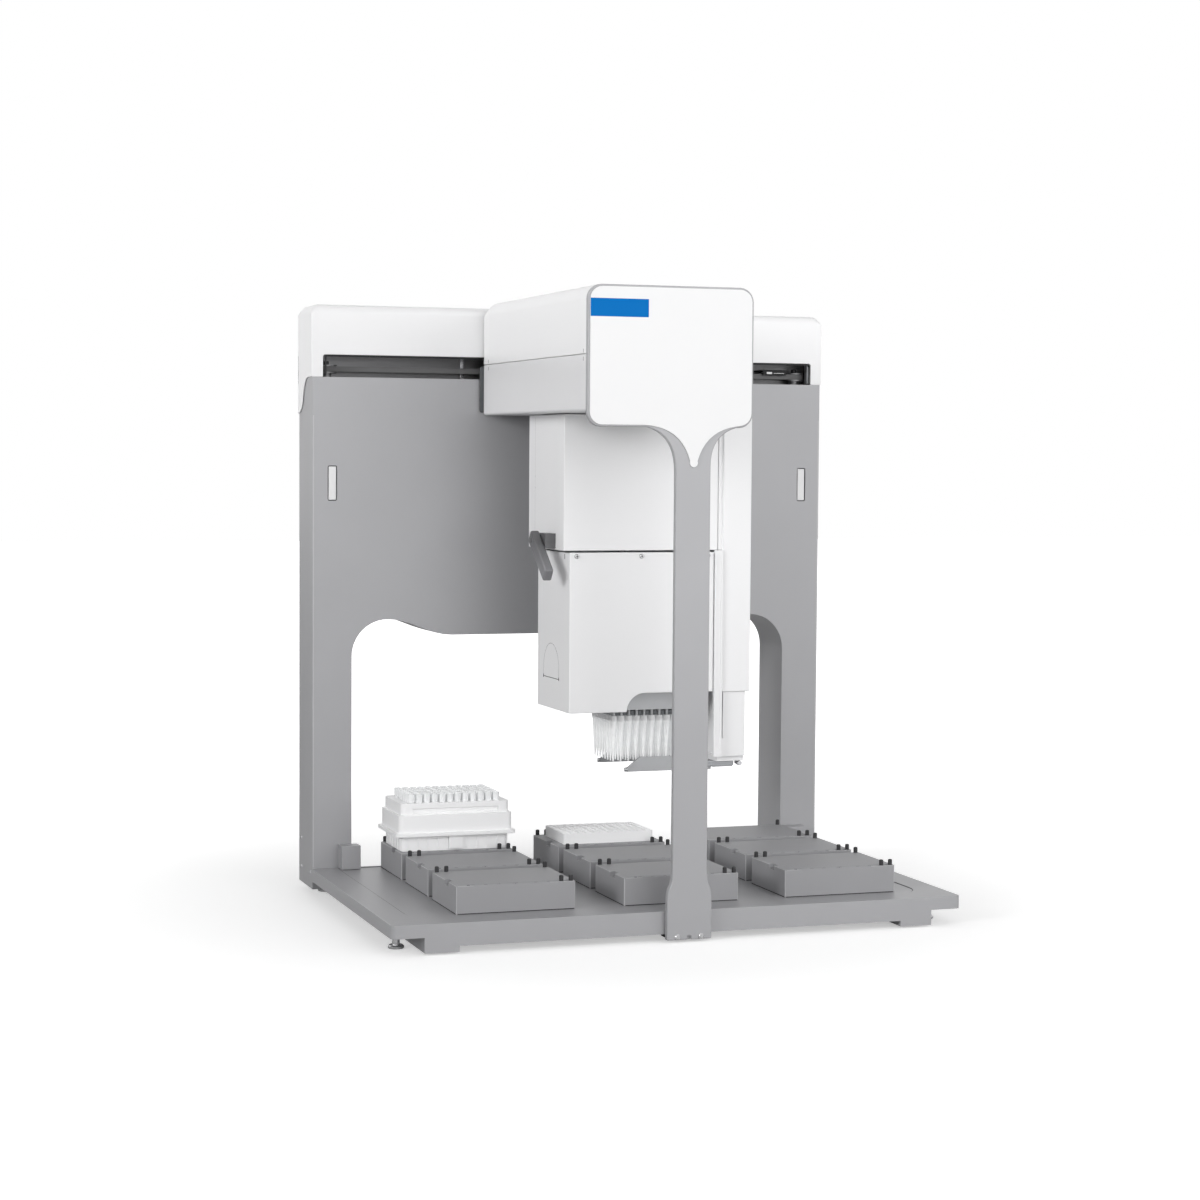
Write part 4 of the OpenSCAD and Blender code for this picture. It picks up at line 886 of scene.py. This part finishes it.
class ROBOT_OT_stage(bpy.types.Operator):
    """Makes the pale floor, the soft studio light and the camera"""
    bl_idname = "robot.stage"
    bl_label = "Stage"

    def execute(self, context):
        scene = context.scene
        scene.view_settings.view_transform = "Standard"
        self.floor(scene)
        self.sky(scene)
        self.lamp(scene, "key", place=(0.8, -3.3, 1.15), aim=(0.0, 0.0, 0.3), size=3.0, power=52.0)
        self.lamp(scene, "top", place=(0.2, 0.1, 3.2), aim=(0.0, 0.0, 0.2), size=2.6, power=5.0)
        self.lamp(scene, "left", place=(-3.0, -1.4, 1.5), aim=(0.0, 0.0, 0.80), size=1.4, power=4.6,
                  spread=36.0)
        self.lamp(scene, "right", place=(2.8, -1.8, 0.9), aim=(0.2, 0.0, 0.3), size=1.6, power=16.0)
        self.camera(scene)
        return {"FINISHED"}

    def floor(self, scene):
        bm = bmesh.new()
        bmesh.ops.create_grid(bm, x_segments=2, y_segments=2, size=12.0)
        mesh = bpy.data.meshes.new("floor")
        bm.to_mesh(mesh)
        bm.free()
        floor = bpy.data.objects.new("floor", mesh)
        scene.collection.objects.link(floor)
        mesh.materials.append(self.floor_paper())

    def floor_paper(self):
        """Pale paper that the camera sees lighter away from the robot."""
        made = bpy.data.materials.new("floor_paper")
        start = bare_tree(made)
        paper = start.node("ShaderNodeBsdfDiffuse", None, {"Color": (0.80, 0.80, 0.80, 1.0)}, "BSDF")
        seen = start.node("ShaderNodeLightPath", output="Is Camera Ray")
        across, deep = start.along("X"), start.along("Y")
        far = start.node("ShaderNodeMath", {"operation": "SUBTRACT", "use_clamp": True},
                         {0: (across * across + deep * deep) * 0.9, 1: 0.12})
        lift = start.node("ShaderNodeEmission", None,
                          {"Color": (1, 1, 1, 1), "Strength": seen * (far * 0.7 + 0.46)}, "Emission")
        both = start.node("ShaderNodeAddShader", None, {0: paper, 1: lift})
        start.node("ShaderNodeOutputMaterial", None, {"Surface": both})
        return made

    def sky(self, scene):
        """White to the camera and in reflections, dimmer as a light, and least overhead."""
        world = bpy.data.worlds.new("studio")
        scene.world = world
        start = bare_tree(world)
        camera, glossy, through = (start.node("ShaderNodeLightPath", output=ray) for ray in (
            "Is Camera Ray", "Is Glossy Ray", "Is Transmission Ray"))
        seen = start.math("MINIMUM", camera + glossy + through, 1.0)
        steep = start.math("ABSOLUTE", start.along("Z"))
        light = (1.0 - steep) * 0.55 + 0.16
        glow = start.node("ShaderNodeBackground", None,
                          {"Color": (1, 1, 1, 1), "Strength": seen * (1.0 - light) + light},
                          "Background")
        start.node("ShaderNodeOutputWorld", None, {"Surface": glow})

    def lamp(self, scene, name, place, aim, size, power, spread=180.0):
        data = bpy.data.lights.new(name, "AREA")
        data.shape, data.size, data.energy = "SQUARE", size, power
        data.spread = math.radians(spread)
        lamp = bpy.data.objects.new(name, data)
        lamp.location = place
        lamp.rotation_euler = (Vector(aim) - Vector(place)).to_track_quat("-Z", "Y").to_euler()
        scene.collection.objects.link(lamp)

    def camera(self, scene):
        yaw, pitch, roll = (math.radians(angle) for angle in (18.778, 3.206, 0.393))
        focus, picture, sensor = 2568.91, 1200, 36.0
        ahead = Vector((math.sin(yaw) * math.cos(pitch), math.cos(yaw) * math.cos(pitch),
                        -math.sin(pitch)))
        right = Vector((math.cos(yaw), -math.sin(yaw), 0.0))
        up = right.cross(ahead)
        side = right * math.cos(roll) + up * math.sin(roll)
        rise = up * math.cos(roll) - right * math.sin(roll)
        data = bpy.data.cameras.new("camera")
        data.sensor_width, data.lens = sensor, sensor * focus / picture
        data.clip_start, data.clip_end = 0.05, 50.0
        camera = bpy.data.objects.new("camera", data)
        camera.rotation_mode = "QUATERNION"
        camera.rotation_quaternion = Matrix((side, rise, -ahead)).transposed().to_quaternion()
        camera.location = (-0.94509, -2.70953, 0.50577)
        scene.collection.objects.link(camera)
        scene.camera = camera


STEPS = (ROBOT_OT_finishes, ROBOT_OT_nest_trim, ROBOT_OT_edge_beads, ROBOT_OT_portal_trim,
         ROBOT_OT_head_trim, ROBOT_OT_gripper_trim, ROBOT_OT_labware_trim, ROBOT_OT_rear_trim,
         ROBOT_OT_drive_trim, ROBOT_OT_stage)


class ROBOT_PT_panel(bpy.types.Panel):
    """Lists the robot's sizes, finishes and steps"""
    bl_idname = "ROBOT_PT_panel"
    bl_label = "Liquid handling robot"
    bl_space_type = "VIEW_3D"
    bl_region_type = "UI"
    bl_category = "Robot"

    def draw(self, context):
        for group in (context.scene.robot_finishes, context.scene.robot_sizes):
            for name in group.__annotations__:
                self.layout.prop(group, name)
        for step in STEPS:
            self.layout.operator(step.bl_idname)


CLASSES = (RobotFinishes, RobotSizes, *STEPS, ROBOT_PT_panel)


def register():
    for each in CLASSES:
        bpy.utils.register_class(each)
    bpy.types.Scene.robot_finishes = PointerProperty(type=RobotFinishes)
    bpy.types.Scene.robot_sizes = PointerProperty(type=RobotSizes)


def unregister():
    del bpy.types.Scene.robot_sizes
    del bpy.types.Scene.robot_finishes
    for each in reversed(CLASSES):
        bpy.utils.unregister_class(each)


def main():
    register()
    for step in STEPS:
        group, name = step.bl_idname.split(".")
        getattr(getattr(bpy.ops, group), name)()


if __name__ == "__main__":
    main()
